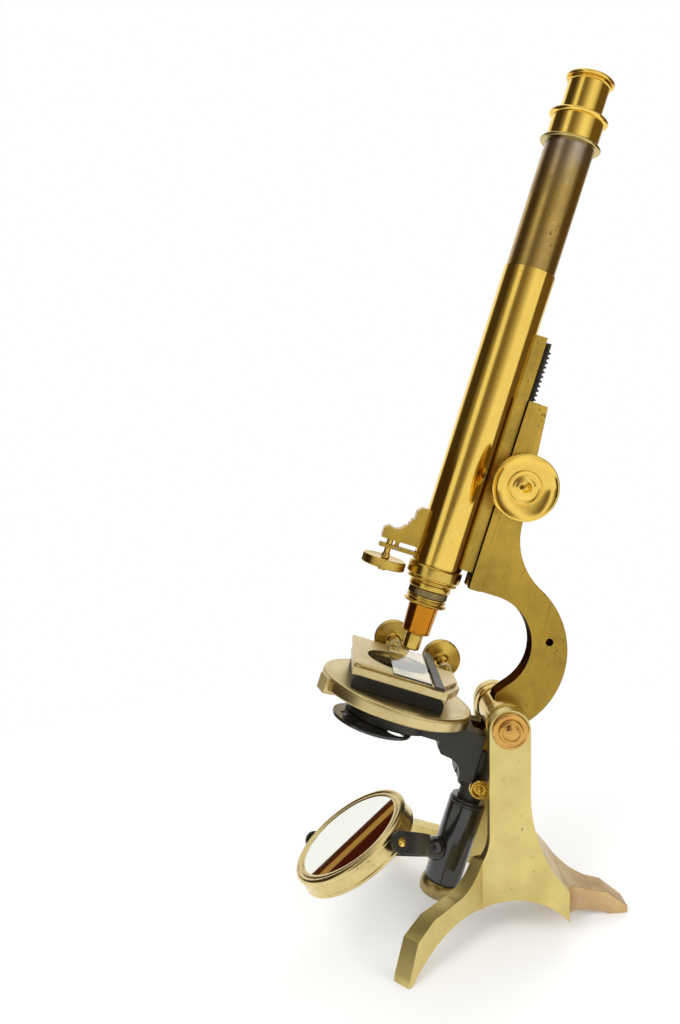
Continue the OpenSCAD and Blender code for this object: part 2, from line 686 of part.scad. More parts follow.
module field_stop()
    color("black") limb_frame() translate([0, 0, (eye_low + eye_top) / 2])
        tube(eye_r - 1.1 - seat_gap, 6.5, 1.2);

module nose_tube()
    color("gold") limb_frame() difference() {
        translate([0, 0, nose_low]) turned([[objective_bore, 0], [nose_r, 0],
            [nose_r, lever_z - 0.2 - nose_low],
            [groove_r, lever_z - 0.2 - nose_low], [groove_r, lever_z + lever_t + 0.2 - nose_low],
            [nose_r, lever_z + lever_t + 0.2 - nose_low], [nose_r, nose_top - nose_low],
            [nose_r - 1.7, nose_top - nose_low], [nose_r - 1.7, 6], [objective_bore, 6]]);
    }

module objective_mount()
    color("gold") limb_frame() translate([0, 0, objective_top - 4.5])
        turned([[7.4, 0], [objective_flange_r - 0.6, 0], [objective_flange_r, 0.6],
            [objective_flange_r, 3.9],
            [objective_flange_r - 0.6, 4.5], [objective_bore - seat_gap, 4.5],
                [objective_bore - seat_gap, 10],
            [7.4, 10]]);

module objective_barrel()
    color("sandybrown") limb_frame() translate([0, 0, objective_front + 12.2])
        turned([[5, 0], [objective_r - 1, 0], [objective_r - 0.9, 8], [objective_r - 0.3, 8.6],
            [objective_r - 0.3, 12], [objective_r, 12.6], [objective_r, objective_h], [7.2, objective_h],
            [7.2, 4], [5, 4]]);

module objective_tip()
    color("gold") limb_frame() translate([0, 0, objective_front])
        turned([[2.4, 0], [4.6, 0], [6, 1.4], [6, 12.2 - seat_gap], [4.9, 12.2 - seat_gap], [4.9, 4],
            [3.4, 4], [3.4, 1.2], [2.4, 1.2]]);

module front_lens()
    color("lightcyan") limb_frame() translate([0, 0, objective_front + 1.3])
        turned([[0, 0], [3.3, 0], [3.3, 1], [2.4, 1.9], [1.2, 2.4], [0, 2.6]]);

module back_lens()
    color("lightcyan") limb_frame() translate([0, 0, objective_front + 17])
        turned([[0, 0], [7.1, 0], [7.1, 1.2], [5, 2.2], [2.5, 2.9], [0, 3.1]]);

module stage_plate()
    color("goldenrod") limb_frame()
        turned([[light_r, bracket_low + slide_gap], [boss_out_r, bracket_low + slide_gap],
            [boss_out_r, stage_low], [stage_r - 1, stage_low], [stage_r, stage_low + 1],
            [stage_r, stage_top - 1.6], [stage_r - 0.6, stage_top - 0.4], [stage_r - 1.6, stage_top],
            [light_r, stage_top]]);

module stage_grip()
    color("goldenrod") limb_frame() rotate([0, 0, 200.8]) difference() {
        translate([stage_r - 6, -6, stage_low - 2.6]) cube([9, 12, stage_t + 2.6 - 1]);
        translate([0, 0, stage_low - seat_gap]) cylinder(r = stage_r + seat_gap, h = stage_t + 2);
        for (i = [-2 : 2]) translate([stage_r + 3.2, i * 2.2, stage_low - 4]) cylinder(r = 0.8, h = 20);
    }

module stage_ring()
    color("gray") limb_frame() translate([0, 0, bracket_low + slide_gap])
        tube(16, boss_out_r + seat_gap, 2.2);

module stage_block()
    color("darkslategray") limb_frame() difference() {
        union() {
            translate([0, -1.5, 0]) slab(63) polygon([[-34, stage_top + seat_gap],
                [27.5, stage_top + seat_gap],
                [27.5, block_top - 2.5], [25, block_top], [-31.5, block_top], [-34, block_top - 2.5]]);
            for (s = [-1, 1]) translate([-31, s * 26 - rib_w / 2, block_top - 1])
                cube([55, rib_w, rib_h + 1]);
        }
        cylinder(r = 12, h = 60, center = true);
    }

module head_bearing(at, y0, len, foot)
    difference() {
        union() {
            translate([at[0], y0, at[1]]) rotate([-90, 0, 0]) cylinder(r = head_shaft_r + 2.3, h = len);
            translate([at[0] - 6.5, y0, foot]) cube([13, len, at[1] - foot - 1]);
        }
        translate([at[0], y0 - 1, at[1]]) rotate([-90, 0, 0])
            cylinder(r = head_shaft_r + run_gap, h = len + 2);
    }

module lower_plate()
    color("goldenrod") limb_frame() {
        difference() {
            union() {
                translate([0, 0, lower_z]) linear_extrude(lower_t)
                    polygon([[-35.5, -31], [28, -31], [39, -6], [39, 31], [-35.5, 31]]);
                translate([-34.2, -28, lower_top - 1]) cube([rib_w, 56, rib_h + 1]);
                translate([32, -5, lower_top - 1]) cube([rib_w, 18, rib_h + 1]);
            }
            translate([0, 0, lower_z - 1]) linear_extrude(lower_t + 2) {
                square([16, 44], center = true);
                for (s = [-1, 1]) translate([8 * s, 0]) circle(r = 22);
            }
            for (s = [-1, 1]) translate([-60, s * 26 - rib_w / 2 - slide_gap, lower_z - 1])
                cube([120, rib_w + 2 * slide_gap, rib_h + 1 + seat_gap]);
        }
        head_bearing(right_head, 31, 7, lower_z);
    }

module upper_plate()
    color("goldenrod") limb_frame() {
        difference() {
            translate([0, 0, upper_z]) linear_extrude(upper_t)
                polygon([[-36, -27], [24.5, -27], [37, -2], [37, 31 - plate_travel - 1],
                    [24.5, 31 - plate_travel - 1], [24.5, 47], [-36, 47]]);
            translate([window_c[0], window_c[1], upper_z - 1]) cylinder(r = window_r, h = upper_t + 2);
            for (x = [-34.2, 32]) translate([x - slide_gap, -60, upper_z - 1])
                cube([rib_w + 2 * slide_gap, 120, rib_h + 1 + seat_gap]);
        }
        head_bearing(left_head, slip_l / 2 + 5.3, 5, upper_top - 0.5);
    }

module glass_slip()
    color("lightcyan") limb_frame() translate([-10, 4.8 - slip_l / 2, upper_top + seat_gap])
        cube([slip_w, slip_l, slip_t]);

module slip_clip()
    color("black") limb_frame() translate([slip_w - 10 + 1.4, -40, upper_top + seat_gap])
        cube([6, 90, 2.2]);

// A milled head on its shaft, seen from the bearing
module stage_head(shaft)
    rotate([-90, 0, 0]) {
        translate([0, 0, -shaft]) cylinder(r = head_shaft_r, h = shaft + 1);
        turned([[0, -5], [4, -5], [4, -2], [6, 0], [head_r - 0.6, 0], [head_r, 0.6], [head_r, 3.4],
            [head_r - 0.5, 3.8], [head_r - 0.5, 4.4], [head_r, 4.8], [head_r, 6], [head_r - 0.8, head_t],
            [head_r - 1.8, head_t - 0.3], [0.72 * head_r, 5.2], [0.46 * head_r, 4.2],
                [0.42 * head_r, 5.4],
            [0.26 * head_r, 6.4], [0, head_t + 0.3]]);
    }

module left_head()
    color("gold") limb_frame() translate([left_head[0], head_y, left_head[1]])
        stage_head(head_y - slip_l / 2 - 5.8);

module right_head()
    color("gold") limb_frame() translate([right_head[0], head_y, right_head[1]])
        stage_head(head_y - 31.5);

module aperture_wheel()
    color("darkslategray") limb_frame() translate([wheel_c[0], wheel_c[1], wheel_z]) difference() {
        cylinder(r = wheel_r, h = wheel_t);
        translate([0, 0, -1]) cylinder(r = 1.5 + run_gap, h = wheel_t + 2);
        for (i = [0 : len(wheel_turns) - 1])
            rotate([0, 0, atan2(-wheel_c[1], -wheel_c[0]) - wheel_turns[i]])
                translate([wheel_arm, 0, -1]) cylinder(r = wheel_holes[i], h = wheel_t + 2);
    }

module wheel_screw()
    color("gray") limb_frame() translate([wheel_c[0], wheel_c[1], wheel_z - 1.9]) {
        cylinder(r = 4, h = 1.7);
        cylinder(r = 1.5, h = 11);
    }

module sleeve_liner()
    color("gold") limb_frame() translate([tail_back, 0, sleeve_low]) difference() {
        turned([[0, -ferrule_h], [12.4, -ferrule_h], [13.4, -ferrule_h + 1], [14, -5], [13.2, -1.6],
            [12.6, -slide_gap],
            [liner_r, -slide_gap], [liner_r, sleeve_len + slide_gap],
                [liner_r + 1.4, sleeve_len + slide_gap],
            [liner_r + 1.4, sleeve_len + 1.5], [0, sleeve_len + 1.5]]);
        translate([0, 0, -ferrule_h + 3]) cylinder(r = stem_r + run_gap, h = sleeve_len + 20);
    }

module mirror_sleeve()
    color("black") tail_frame() difference() {
        translate([0, 0, sleeve_low]) turned([[liner_r + run_gap, 0], [sleeve_r - 0.6, 0],
            [sleeve_r, 0.6],
            [sleeve_r, sleeve_len - 0.8], [sleeve_r - 0.8, sleeve_len], [liner_r + run_gap, sleeve_len]]);
    }

module ball_socket()
    color("dimgray") tail_frame() difference() {
        translate([0, 0, ball_z]) rotate([0, 90, 0])
            turned([[0, 9], [8.4, 9], [8.4, ball_out + 1.8], [7.6, ball_out + 2.6], [0, ball_out + 2.6]]);
        translate([0, 0, sleeve_low]) cylinder(r = sleeve_r + seat_gap, h = sleeve_len);
        translate([ball_out, 0, ball_z]) rotate([0, 90, 0])
            turned(concat(arc([0, 0], (ball_r + run_gap) / cos(5), -90, acos(5 / ball_r), 14),
                [[5, 10], [0, 10]]));
    }

module ball_stud()
    color("gray") fork_frame() rotate([0, 90, 0])
        turned(concat(arc([0, 0], ball_r, -90, acos(3 / ball_r), 14), [[3, fork_bottom - 3],
            [5, fork_bottom - 3], [5, fork_bottom - seat_gap], [0, fork_bottom - seat_gap]]));

module mirror_fork()
    color("gray") fork_frame() difference() {
        union() {
            translate([mirror_reach, 0, -fork_w / 2]) linear_extrude(fork_w) difference() {
                circle(r = fork_r + fork_t, $fn = 120);
                circle(r = fork_r, $fn = 120);
                translate([0, -100]) square([200, 200]);
            }
            for (s = [-1, 1]) translate([mirror_reach, s * (fork_r + fork_t / 2), 0]) rotate([90, 0, 0])
                cylinder(r = fork_w / 2, h = fork_t - 0.1, center = true);
        }
        translate([mirror_reach, 0, 0]) rotate([90, 0, 0])
            cylinder(r = 2.2 + seat_gap, h = 2 * fork_r + 20, center = true);
    }

module fork_screws()
    color("gold") fork_frame() for (s = [-1, 1])
        translate([mirror_reach, s * (mirror_r - 2.4), 0]) rotate([-90 * s, 0, 0]) {
            cylinder(r = 2.2, h = fork_r + fork_t - mirror_r + 3);
            translate([0, 0, fork_r + fork_t - mirror_r + 2.4 + seat_gap])
                turned([[0, 0], [4.6, 0], [4.6, 1.4], [3.9, 2], [0, 2]]);
        }

module mirror_cell()
    color("goldenrod") mirror_frame() difference() {
        turned([[0, -2.6], [mirror_r - 3, -2.6], [mirror_r - 3, -mirror_t / 2 + 0.9],
            [mirror_r - 4.6, -mirror_t / 2 + 0.9],
            [mirror_r - 4.6, -mirror_t / 2], [mirror_r - 1, -mirror_t / 2], [mirror_r, -mirror_t / 2 + 1],
            [mirror_r, mirror_t / 2 - 1], [mirror_r - 1, mirror_t / 2], [mirror_r - 4.6, mirror_t / 2],
            [mirror_r - 4.6, mirror_t / 2 - 0.9], [mirror_r - 3, mirror_t / 2 - 0.9],
                [mirror_r - 3, 2.6], [0, 2.6]]);
        rotate([90, 0, 0]) difference() {
            cylinder(r = 2.2 + run_gap, h = 4 * mirror_r, center = true);
            cylinder(r = 3, h = 2 * mirror_r - 6, center = true);
        }
    }

module plane_glass()
    color("lightsteelblue") mirror_frame() translate([0, 0, 2.6 + seat_gap])
        cylinder(r = mirror_r - 3 - seat_gap, h = mirror_t / 2 - 0.9 - 2.6 - 2 * seat_gap);

module concave_glass()
    color("lightsteelblue") mirror_frame()
        turned([[0, -2.6 - seat_gap], [mirror_r - 3 - seat_gap, -2.6 - seat_gap],
            [mirror_r - 3 - seat_gap, -mirror_t / 2 + 0.9 + seat_gap],
                [mirror_r - 6, -mirror_t / 2 + 0.9 + seat_gap],
            [0.6 * mirror_r, -4.8], [0.35 * mirror_r, -4.1], [0, -3.7]]);

near_upright();
far_upright();
rear_foot();
trunnion_pin();
trunnion_caps();
limb();
barrel_collars();
stage_bracket();
tail_stem();
tail_clamp_screw();
body_tube();
slide_bar();
rack();
nose_collar();
fine_block();
fine_lever();
lever_pin();
fine_head();
coarse_pinion();
coarse_heads();
draw_tube();
draw_collar();
eyepiece_holder();
eyepiece_barrel();
eyepiece_cap();
eye_lens();
field_lens();
field_stop();
nose_tube();
objective_mount();
objective_barrel();
objective_tip();
front_lens();
back_lens();
stage_plate();
stage_grip();
stage_ring();
stage_block();
lower_plate();
upper_plate();
glass_slip();
slip_clip();
left_head();
right_head();
aperture_wheel();
wheel_screw();
sleeve_liner();
mirror_sleeve();
ball_socket();
ball_stud();
mirror_fork();
fork_screws();
mirror_cell();
plane_glass();
concave_glass();
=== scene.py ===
"""Looks of an inclining brass microscope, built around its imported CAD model.

The CAD nodes carry the true shapes. This script gives them their finishes, adds the milled edges,
screws, slots and other small pieces, and sets up the floor, the lamps and the camera.
"""

import json
import logging
import math
from dataclasses import dataclass, replace
from enum import Enum

import bpy
from mathutils import Matrix, Vector


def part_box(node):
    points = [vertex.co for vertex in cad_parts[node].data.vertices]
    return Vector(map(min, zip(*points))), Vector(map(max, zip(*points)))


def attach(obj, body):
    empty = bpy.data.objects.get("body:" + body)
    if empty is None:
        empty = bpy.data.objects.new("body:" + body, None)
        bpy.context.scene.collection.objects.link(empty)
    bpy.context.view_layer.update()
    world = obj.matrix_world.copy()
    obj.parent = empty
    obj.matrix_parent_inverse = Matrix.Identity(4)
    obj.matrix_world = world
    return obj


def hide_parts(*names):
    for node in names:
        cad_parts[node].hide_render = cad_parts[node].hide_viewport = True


LOG = logging.getLogger("microscope")
MM = 0.001
Colour = tuple[float, float, float]
Pair = tuple[float, float]

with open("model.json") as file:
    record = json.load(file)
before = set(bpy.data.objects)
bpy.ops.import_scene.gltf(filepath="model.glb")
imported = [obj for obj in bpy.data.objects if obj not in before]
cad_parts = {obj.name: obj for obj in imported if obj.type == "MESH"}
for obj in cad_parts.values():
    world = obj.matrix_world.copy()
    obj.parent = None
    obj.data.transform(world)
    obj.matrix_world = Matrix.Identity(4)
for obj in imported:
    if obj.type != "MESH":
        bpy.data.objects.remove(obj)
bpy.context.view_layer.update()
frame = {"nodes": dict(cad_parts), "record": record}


@dataclass(frozen=True)
class LimbFrame:
    """The frame of the optical axis: x back, y across and z up the tube, level with the trunnion.

    Attributes:
        lean: lean of the axis from upright, in degrees.
        trunnion_x: place of the trunnion axis along X, in mm.
        trunnion_z: height of the trunnion axis, in mm.
        pivot_back: distance from the optical axis back to the trunnion axis, in mm.
    """

    lean: float = 17.9
    trunnion_x: float = 25.1
    trunnion_z: float = 138.4
    pivot_back: float = 72.3

    def matrix(self) -> Matrix:
        """Gives the matrix from this frame, in metres, to the row frame.

        Returns:
            The placing matrix.
        """
        to_pivot = Matrix.Translation((-self.pivot_back * MM, 0, 0))
        turn = Matrix.Rotation(math.radians(self.lean), 4, "Y")
        place = Matrix.Translation((self.trunnion_x * MM, 0, self.trunnion_z * MM))
        return place @ turn @ to_pivot

    def at(self, x: float, y: float, z: float) -> Matrix:
        """Gives the matrix that puts a piece at a point of this frame.

        Args:
            x: distance behind the optical axis, in mm.
            y: distance across, in mm.
            z: height above the trunnion, in mm.

        Returns:
            The placing matrix.
        """
        return self.matrix() @ Matrix.Translation((x * MM, y * MM, z * MM))


def measured_limb() -> LimbFrame:
    """Reads the trunnion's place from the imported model.

    Returns:
        The limb's frame.
    """
    low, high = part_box("trunnion_pin")
    middle = (low + high) / 2
    return LimbFrame(trunnion_x=middle.x / MM, trunnion_z=middle.z / MM)


class NodeGroups:
    """Shader node groups that several finishes share. Scales are in features per metre."""

    CLOUD_SCALE = 38
    BROAD_SCALE = 9
    SPOT_SCALE = 420
    PATCH_SCALE = 60
    STREAK_SCALES = (420.0, 420.0, 16.0)
    HANDLED_SCALE = 70
    FADE_SCALE = 55
    FADE_DRIFT = 0.03

    @staticmethod
    def start(name: str, inputs: dict[str, object], outputs: dict[str, str]) -> tuple:
        """Makes an empty group with named sockets.

        Args:
            name: the group's name.
            inputs: default value of each input, by name; its kind follows from the value.
            outputs: kind of each output socket, by name.

        Returns:
            The group, its input node and its output node.
        """
        tree = bpy.data.node_groups.new(name, "ShaderNodeTree")
        for key, value in inputs.items():
            kind = "NodeSocketColor" if isinstance(value, tuple) else "NodeSocketFloat"
            socket = tree.interface.new_socket(name=key, in_out="INPUT", socket_type=kind)
            socket.default_value = (*value, 1.0) if isinstance(value, tuple) else value
        for key, kind in outputs.items():
            tree.interface.new_socket(name=key, in_out="OUTPUT", socket_type=kind)
        return tree, tree.nodes.new("NodeGroupInput"), tree.nodes.new("NodeGroupOutput")

    @staticmethod
    def noise(tree: object, vector: object, scale: float, detail: float, rough: float) -> object:
        """Adds a noise texture that reads a vector.

        Args:
            tree: the node tree.
            vector: the socket with the coordinates.
            scale: features per metre.
            detail: octaves.
            rough: roughness of the octaves.

        Returns:
            The noise's factor socket.
        """
        node = tree.nodes.new("ShaderNodeTexNoise")
        node.inputs["Scale"].default_value = scale
        node.inputs["Detail"].default_value = detail
        node.inputs["Roughness"].default_value = rough
        tree.links.new(vector, node.inputs["Vector"])
        return node.outputs["Fac"]

    @staticmethod
    def ramp(tree: object, value: object, low: float, high: float) -> object:
        """Adds a smooth step from 0 at low to 1 at high.

        Args:
            tree: the node tree.
            value: the socket that is stepped.
            low: value that gives 0.
            high: value that gives 1.

        Returns:
            The stepped socket.
        """
        node = tree.nodes.new("ShaderNodeMapRange")
        node.interpolation_type = "SMOOTHSTEP"
        node.inputs["From Min"].default_value = low
        node.inputs["From Max"].default_value = high
        tree.links.new(value, node.inputs["Value"])
        return node.outputs["Result"]

    @staticmethod
    def maths(tree: object, kind: str, a: object, b: object) -> object:
        """Adds a sum, product or other operation on two values.

        Args:
            tree: the node tree.
            kind: the operation's name.
            a: a socket or a number.
            b: a socket or a number.

        Returns:
            The result's socket.
        """
        node = tree.nodes.new("ShaderNodeMath")
        node.operation = kind
        for slot, value in zip(node.inputs, (a, b)):
            if isinstance(value, (int, float)):
                slot.default_value = value
            else:
                tree.links.new(value, slot)
        return node.outputs[0]

    @staticmethod
    def mix(tree: object, amount: object, a: object, b: object) -> object:
        """Mixes two colours.

        Args:
            tree: the node tree.
            amount: the socket that gives the share of the second colour.
            a: the first colour or its socket.
            b: the second colour or its socket.

        Returns:
            The mixed colour's socket.
        """
        node = tree.nodes.new("ShaderNodeMix")
        node.data_type = "RGBA"
        tree.links.new(amount, node.inputs[0])
        for slot, value in zip(node.inputs[6:8], (a, b)):
            if isinstance(value, tuple):
                slot.default_value = (*value, 1.0)
            else:
                tree.links.new(value, slot)
        return node.outputs[2]

    def tarnish(self) -> object:
        """Makes the group for cloudy tarnish and small dark spots.

        Returns:
            The group. Its mask is 1 where the metal has darkened.
        """
        tree, source, sink = self.start(
            "Tarnish",
            {"Metal": (0.7, 0.5, 0.2), "Stain": (0.2, 0.12, 0.05), "Spot": (0.06, 0.03, 0.01),
             "Cloud": 0.4, "Spots": 0.4, "Streaks": 0.0},
            {"Color": "NodeSocketColor", "Mask": "NodeSocketFloat"})
        place = tree.nodes.new("ShaderNodeTexCoord").outputs["Object"]
        drawn = self.stretched(tree, place, self.STREAK_SCALES)
        streaks = self.ramp(tree, self.noise(tree, drawn, 1, 4, 0.7), 0.5, 0.72)
        streaks = self.maths(tree, "MULTIPLY", streaks, source.outputs["Streaks"])
        broad = self.maths(tree, "MULTIPLY", self.noise(tree, place, self.BROAD_SCALE, 3, 0.5),
                           0.6)
        cloud = self.maths(tree, "ADD", self.noise(tree, place, self.CLOUD_SCALE, 6, 0.62), broad)
        cloud = self.ramp(tree, cloud, 0.62, 1.08)
        cloud = self.maths(tree, "MULTIPLY", cloud, source.outputs["Cloud"])
        specks = self.ramp(tree, self.noise(tree, place, self.SPOT_SCALE, 3, 0.6), 0.62, 0.7)
        patches = self.ramp(tree, self.noise(tree, place, self.PATCH_SCALE, 2, 0.5), 0.45, 0.65)
        spots = self.maths(tree, "MULTIPLY", specks, patches)
        spots = self.maths(tree, "MULTIPLY", spots, source.outputs["Spots"])
        cloud = self.maths(tree, "MAXIMUM", cloud, streaks)
        stained = self.mix(tree, cloud, source.outputs["Metal"], source.outputs["Stain"])
        tree.links.new(self.mix(tree, spots, stained, source.outputs["Spot"]),
                       sink.inputs["Color"])
        tree.links.new(self.maths(tree, "MAXIMUM", cloud, spots), sink.inputs["Mask"])
        return tree

    @staticmethod
    def stretched(tree: object, place: object, scales: object) -> object:
        """Turns a place into the limb's frame and stretches it along the frame's axes.

        Args:
            tree: the node tree.
            place: the place's socket.
            scales: scale across, along and up, as three numbers or three sockets.

        Returns:
            The stretched place's socket.
        """
        turn = tree.nodes.new("ShaderNodeVectorRotate")
        turn.rotation_type = "Y_AXIS"
        turn.inputs["Angle"].default_value = -math.radians(LimbFrame().lean)
        tree.links.new(place, turn.inputs["Vector"])
        stretch = tree.nodes.new("ShaderNodeCombineXYZ")
        for scale, slot in zip(scales, ("X", "Y", "Z")):
            if isinstance(scale, float):
                stretch.inputs[slot].default_value = scale
            else:
                tree.links.new(scale, stretch.inputs[slot])
        product = tree.nodes.new("ShaderNodeVectorMath")
        product.operation = "MULTIPLY"
        tree.links.new(turn.outputs[0], product.inputs[0])
        tree.links.new(stretch.outputs[0], product.inputs[1])
        return product.outputs[0]

    def grain(self) -> object:
        """Makes the group for fine scratches along one direction of the limb's frame.

        Returns:
            The group. Its height goes to a bump, its value to the roughness.
        """
        tree, source, sink = self.start(
            "Grain", {"Across": 900.0, "Along": 25.0, "Up": 25.0, "Base": 0.3, "Spread": 0.1},
            {"Height": "NodeSocketFloat", "Roughness": "NodeSocketFloat"})
        place = tree.nodes.new("ShaderNodeTexCoord").outputs["Object"]
        drawn = self.stretched(tree, place, [source.outputs[key] for key in ("Across", "Along",
                                                                             "Up")])
        fine = self.noise(tree, drawn, 1, 3, 0.6)
        wide = self.noise(tree, place, self.HANDLED_SCALE, 4, 0.6)
        level = self.maths(tree, "ADD", self.maths(tree, "MULTIPLY", fine, 0.5),
                           self.maths(tree, "MULTIPLY", wide, 0.5))
        level = self.maths(tree, "MULTIPLY", self.maths(tree, "SUBTRACT", level, 0.5),
                           source.outputs["Spread"])
        rough = self.maths(tree, "ADD", level, source.outputs["Base"])
        tree.links.new(fine, sink.inputs["Height"])
        tree.links.new(rough, sink.inputs["Roughness"])
        return tree

    def fade(self) -> object:
        """Makes the group for a slow change of colour up the optical axis.

        Returns:
            The group. Its mask rises from 0 to 1 between two heights above the trunnion.
        """
        tree, source, sink = self.start("Fade", {"Low": 0.0, "High": 0.1},
                                        {"Mask": "NodeSocketFloat"})
        limb = measured_limb()
        lean = math.radians(limb.lean)
        place = tree.nodes.new("ShaderNodeTexCoord").outputs["Object"]
        height = tree.nodes.new("ShaderNodeVectorMath")
        height.operation = "DOT_PRODUCT"
        height.inputs[1].default_value = (math.sin(lean), 0, math.cos(lean))
        tree.links.new(place, height.inputs[0])
        start = (limb.trunnion_x * math.sin(lean) + limb.trunnion_z * math.cos(lean)) * MM
        start += self.FADE_DRIFT / 2
        drift = self.noise(tree, place, self.FADE_SCALE, 4, 0.6)
        drift = self.maths(tree, "MULTIPLY", drift, self.FADE_DRIFT)
        level = self.maths(tree, "SUBTRACT", height.outputs["Value"], start)
        step = self.ramp(tree, self.maths(tree, "ADD", level, drift), 0, 1)
        tree.links.new(source.outputs["Low"], step.node.inputs["From Min"])
        tree.links.new(source.outputs["High"], step.node.inputs["From Max"])
        tree.links.new(step, sink.inputs["Mask"])
        return tree


class Grain(Enum):
    """Directions of a finish's fine scratches: features per metre across, along and up."""

    NONE = (60.0, 60.0, 60.0)
    UP = (700.0, 700.0, 12.0)
    ACROSS = (900.0, 15.0, 900.0)
    ROUND = (20.0, 20.0, 1500.0)


@dataclass(frozen=True)
class Finish:
    """A metal or enamel finish.

    STAIN_ROUGHNESS is what full tarnish adds to the roughness. EDGE_TURN gives how far a face's
    normal points across, from where the painted shade starts to give way to where it has gone.

    Attributes:
        name: the material's name.
        metal: the clean surface's colour.
        stain: colour of the cloudy tarnish.
        spot: colour of the small spots.
        cloud: how much of the tarnish shows.
        spots: how strongly the spots show.
        streaks: how strongly stains drawn out along the limb show.
        rough: mean roughness.
        spread: change of the roughness over the surface.
        metallic: 1 for bare or lacquered metal, 0 for enamel.
        coat: weight of the lacquer.
        grain: direction of the fine scratches.
        bump: depth of the scratches, in mm.
        fade: heights above the trunnion between which the colour fades, in mm.
        faded: the colour above those heights.
        edge: painted shade on the faces that run round the piece's outline, seen from the side.
        shine: strength of the plain reflections of a dark finish.
    """

    COAT_ROUGHNESS = 0.06
    STAIN_ROUGHNESS = 0.16
    EDGE_TURN = (0.2, 0.75)

    name: str
    metal: Colour
    stain: Colour
    spot: Colour = (0.05, 0.03, 0.015)
    cloud: float = 0.4
    spots: float = 0.4
    streaks: float = 0.0
    rough: float = 0.25
    spread: float = 0.12
    metallic: float = 1.0
    coat: float = 0.0
    grain: Grain = Grain.NONE
    bump: float = 0.004
    fade: Pair | None = None
    faded: Colour = (0.5, 0.5, 0.5)
    edge: Colour | None = None
    shine: float = 0.5

    def build(self, groups: dict[str, object]) -> object:
        """Makes the finish's material.

        Args:
            groups: the shared node groups, by name.

        Returns:
            The material.
        """
        made = bpy.data.materials.new(self.name)
        made.use_nodes = True
        tree = made.node_tree
        shader = tree.nodes["Principled BSDF"]
        shader.inputs["Metallic"].default_value = self.metallic
        shader.inputs["Coat Weight"].default_value = self.coat
        shader.inputs["Coat Roughness"].default_value = self.COAT_ROUGHNESS
        shader.inputs["Specular IOR Level"].default_value = self.shine
        tarnish = tree.nodes.new("ShaderNodeGroup")
        tarnish.node_tree = groups["tarnish"]
        for key, value in (("Metal", self.metal), ("Stain", self.stain), ("Spot", self.spot)):
            tarnish.inputs[key].default_value = (*value, 1.0)
        if self.fade:
            fade = tree.nodes.new("ShaderNodeGroup")
            fade.node_tree = groups["fade"]
            for key, height in zip(("Low", "High"), self.fade):
                fade.inputs[key].default_value = height * MM
            metal = NodeGroups.mix(tree, fade.outputs["Mask"], self.metal, self.faded)
            tree.links.new(metal, tarnish.inputs["Metal"])
        tarnish.inputs["Cloud"].default_value = self.cloud
        tarnish.inputs["Spots"].default_value = self.spots
        tarnish.inputs["Streaks"].default_value = self.streaks
        grain = tree.nodes.new("ShaderNodeGroup")
        grain.node_tree = groups["grain"]
        for key, value in zip(("Across", "Along", "Up"), self.grain.value):
            grain.inputs[key].default_value = value
        grain.inputs["Base"].default_value = self.rough
        grain.inputs["Spread"].default_value = self.spread
        dull = tree.nodes.new("ShaderNodeMath")
        dull.operation = "MULTIPLY_ADD"
        dull.use_clamp = True
        dull.inputs[1].default_value = self.STAIN_ROUGHNESS
        tree.links.new(tarnish.outputs["Mask"], dull.inputs[0])
        tree.links.new(grain.outputs["Roughness"], dull.inputs[2])
        bump = tree.nodes.new("ShaderNodeBump")
        bump.inputs["Distance"].default_value = self.bump * MM
        tree.links.new(grain.outputs["Height"], bump.inputs["Height"])
        colour = tarnish.outputs["Color"]
        # Painted shade: faces whose normal turns away from the Y axis, such as the outline and the
        # bore of the bow, take the dark edge colour, and Specular Tint darkens the grazing
        # reflections of the whole piece with it.
        if self.edge:
            facing = tree.nodes.new("ShaderNodeSeparateXYZ")
            tree.links.new(tree.nodes.new("ShaderNodeNewGeometry").outputs["Normal"],
                           facing.inputs[0])
            flat = NodeGroups.maths(tree, "ABSOLUTE", facing.outputs["Y"], 0.0)
            across = NodeGroups.ramp(tree, flat, *self.EDGE_TURN)
            colour = NodeGroups.mix(tree, across, self.edge, colour)
            shader.inputs["Specular Tint"].default_value = (*self.edge, 1.0)
        tree.links.new(colour, shader.inputs["Base Color"])
        tree.links.new(dull.outputs[0], shader.inputs["Roughness"])
        tree.links.new(bump.outputs["Normal"], shader.inputs["Normal"])
        return made


@dataclass(frozen=True)
class Glass:
    """Clear lens glass or silvered mirror glass.

    STAIN_SHADE darkens the cloudy places, and HAZE is what they add to ROUGHNESS.

    Attributes:
        name: the material's name.
        tint: the glass's colour.
        clear: 1 for glass that lets light through, 0 for a silvered face.
    """

    IOR = 1.5
    STAIN_SHADE = 0.93
    ROUGHNESS = 0.015
    HAZE = 0.03

    name: str
    tint: Colour
    clear: float

    def build(self, groups: dict[str, object]) -> object:
        """Makes the glass's material.

        Args:
            groups: the shared node groups, by name.

        Returns:
            The material.
        """
        made = bpy.data.materials.new(self.name)
        made.use_nodes = True
        tree = made.node_tree
        shader = tree.nodes["Principled BSDF"]
        shader.inputs["Metallic"].default_value = 1.0 - self.clear
        shader.inputs["Transmission Weight"].default_value = self.clear
        shader.inputs["IOR"].default_value = self.IOR
        tarnish = tree.nodes.new("ShaderNodeGroup")
        tarnish.node_tree = groups["tarnish"]
        for key in ("Metal", "Stain", "Spot"):
            shade = 1.0 if key == "Metal" else self.STAIN_SHADE
            tarnish.inputs[key].default_value = (*(c * shade for c in self.tint), 1.0)
        tree.links.new(tarnish.outputs["Color"], shader.inputs["Base Color"])
        haze = tree.nodes.new("ShaderNodeMath")
        haze.operation = "MULTIPLY_ADD"
        haze.inputs[1].default_value = self.HAZE
        haze.inputs[2].default_value = self.ROUGHNESS
        tree.links.new(tarnish.outputs["Mask"], haze.inputs[0])
        tree.links.new(haze.outputs[0], shader.inputs["Roughness"])
        return made


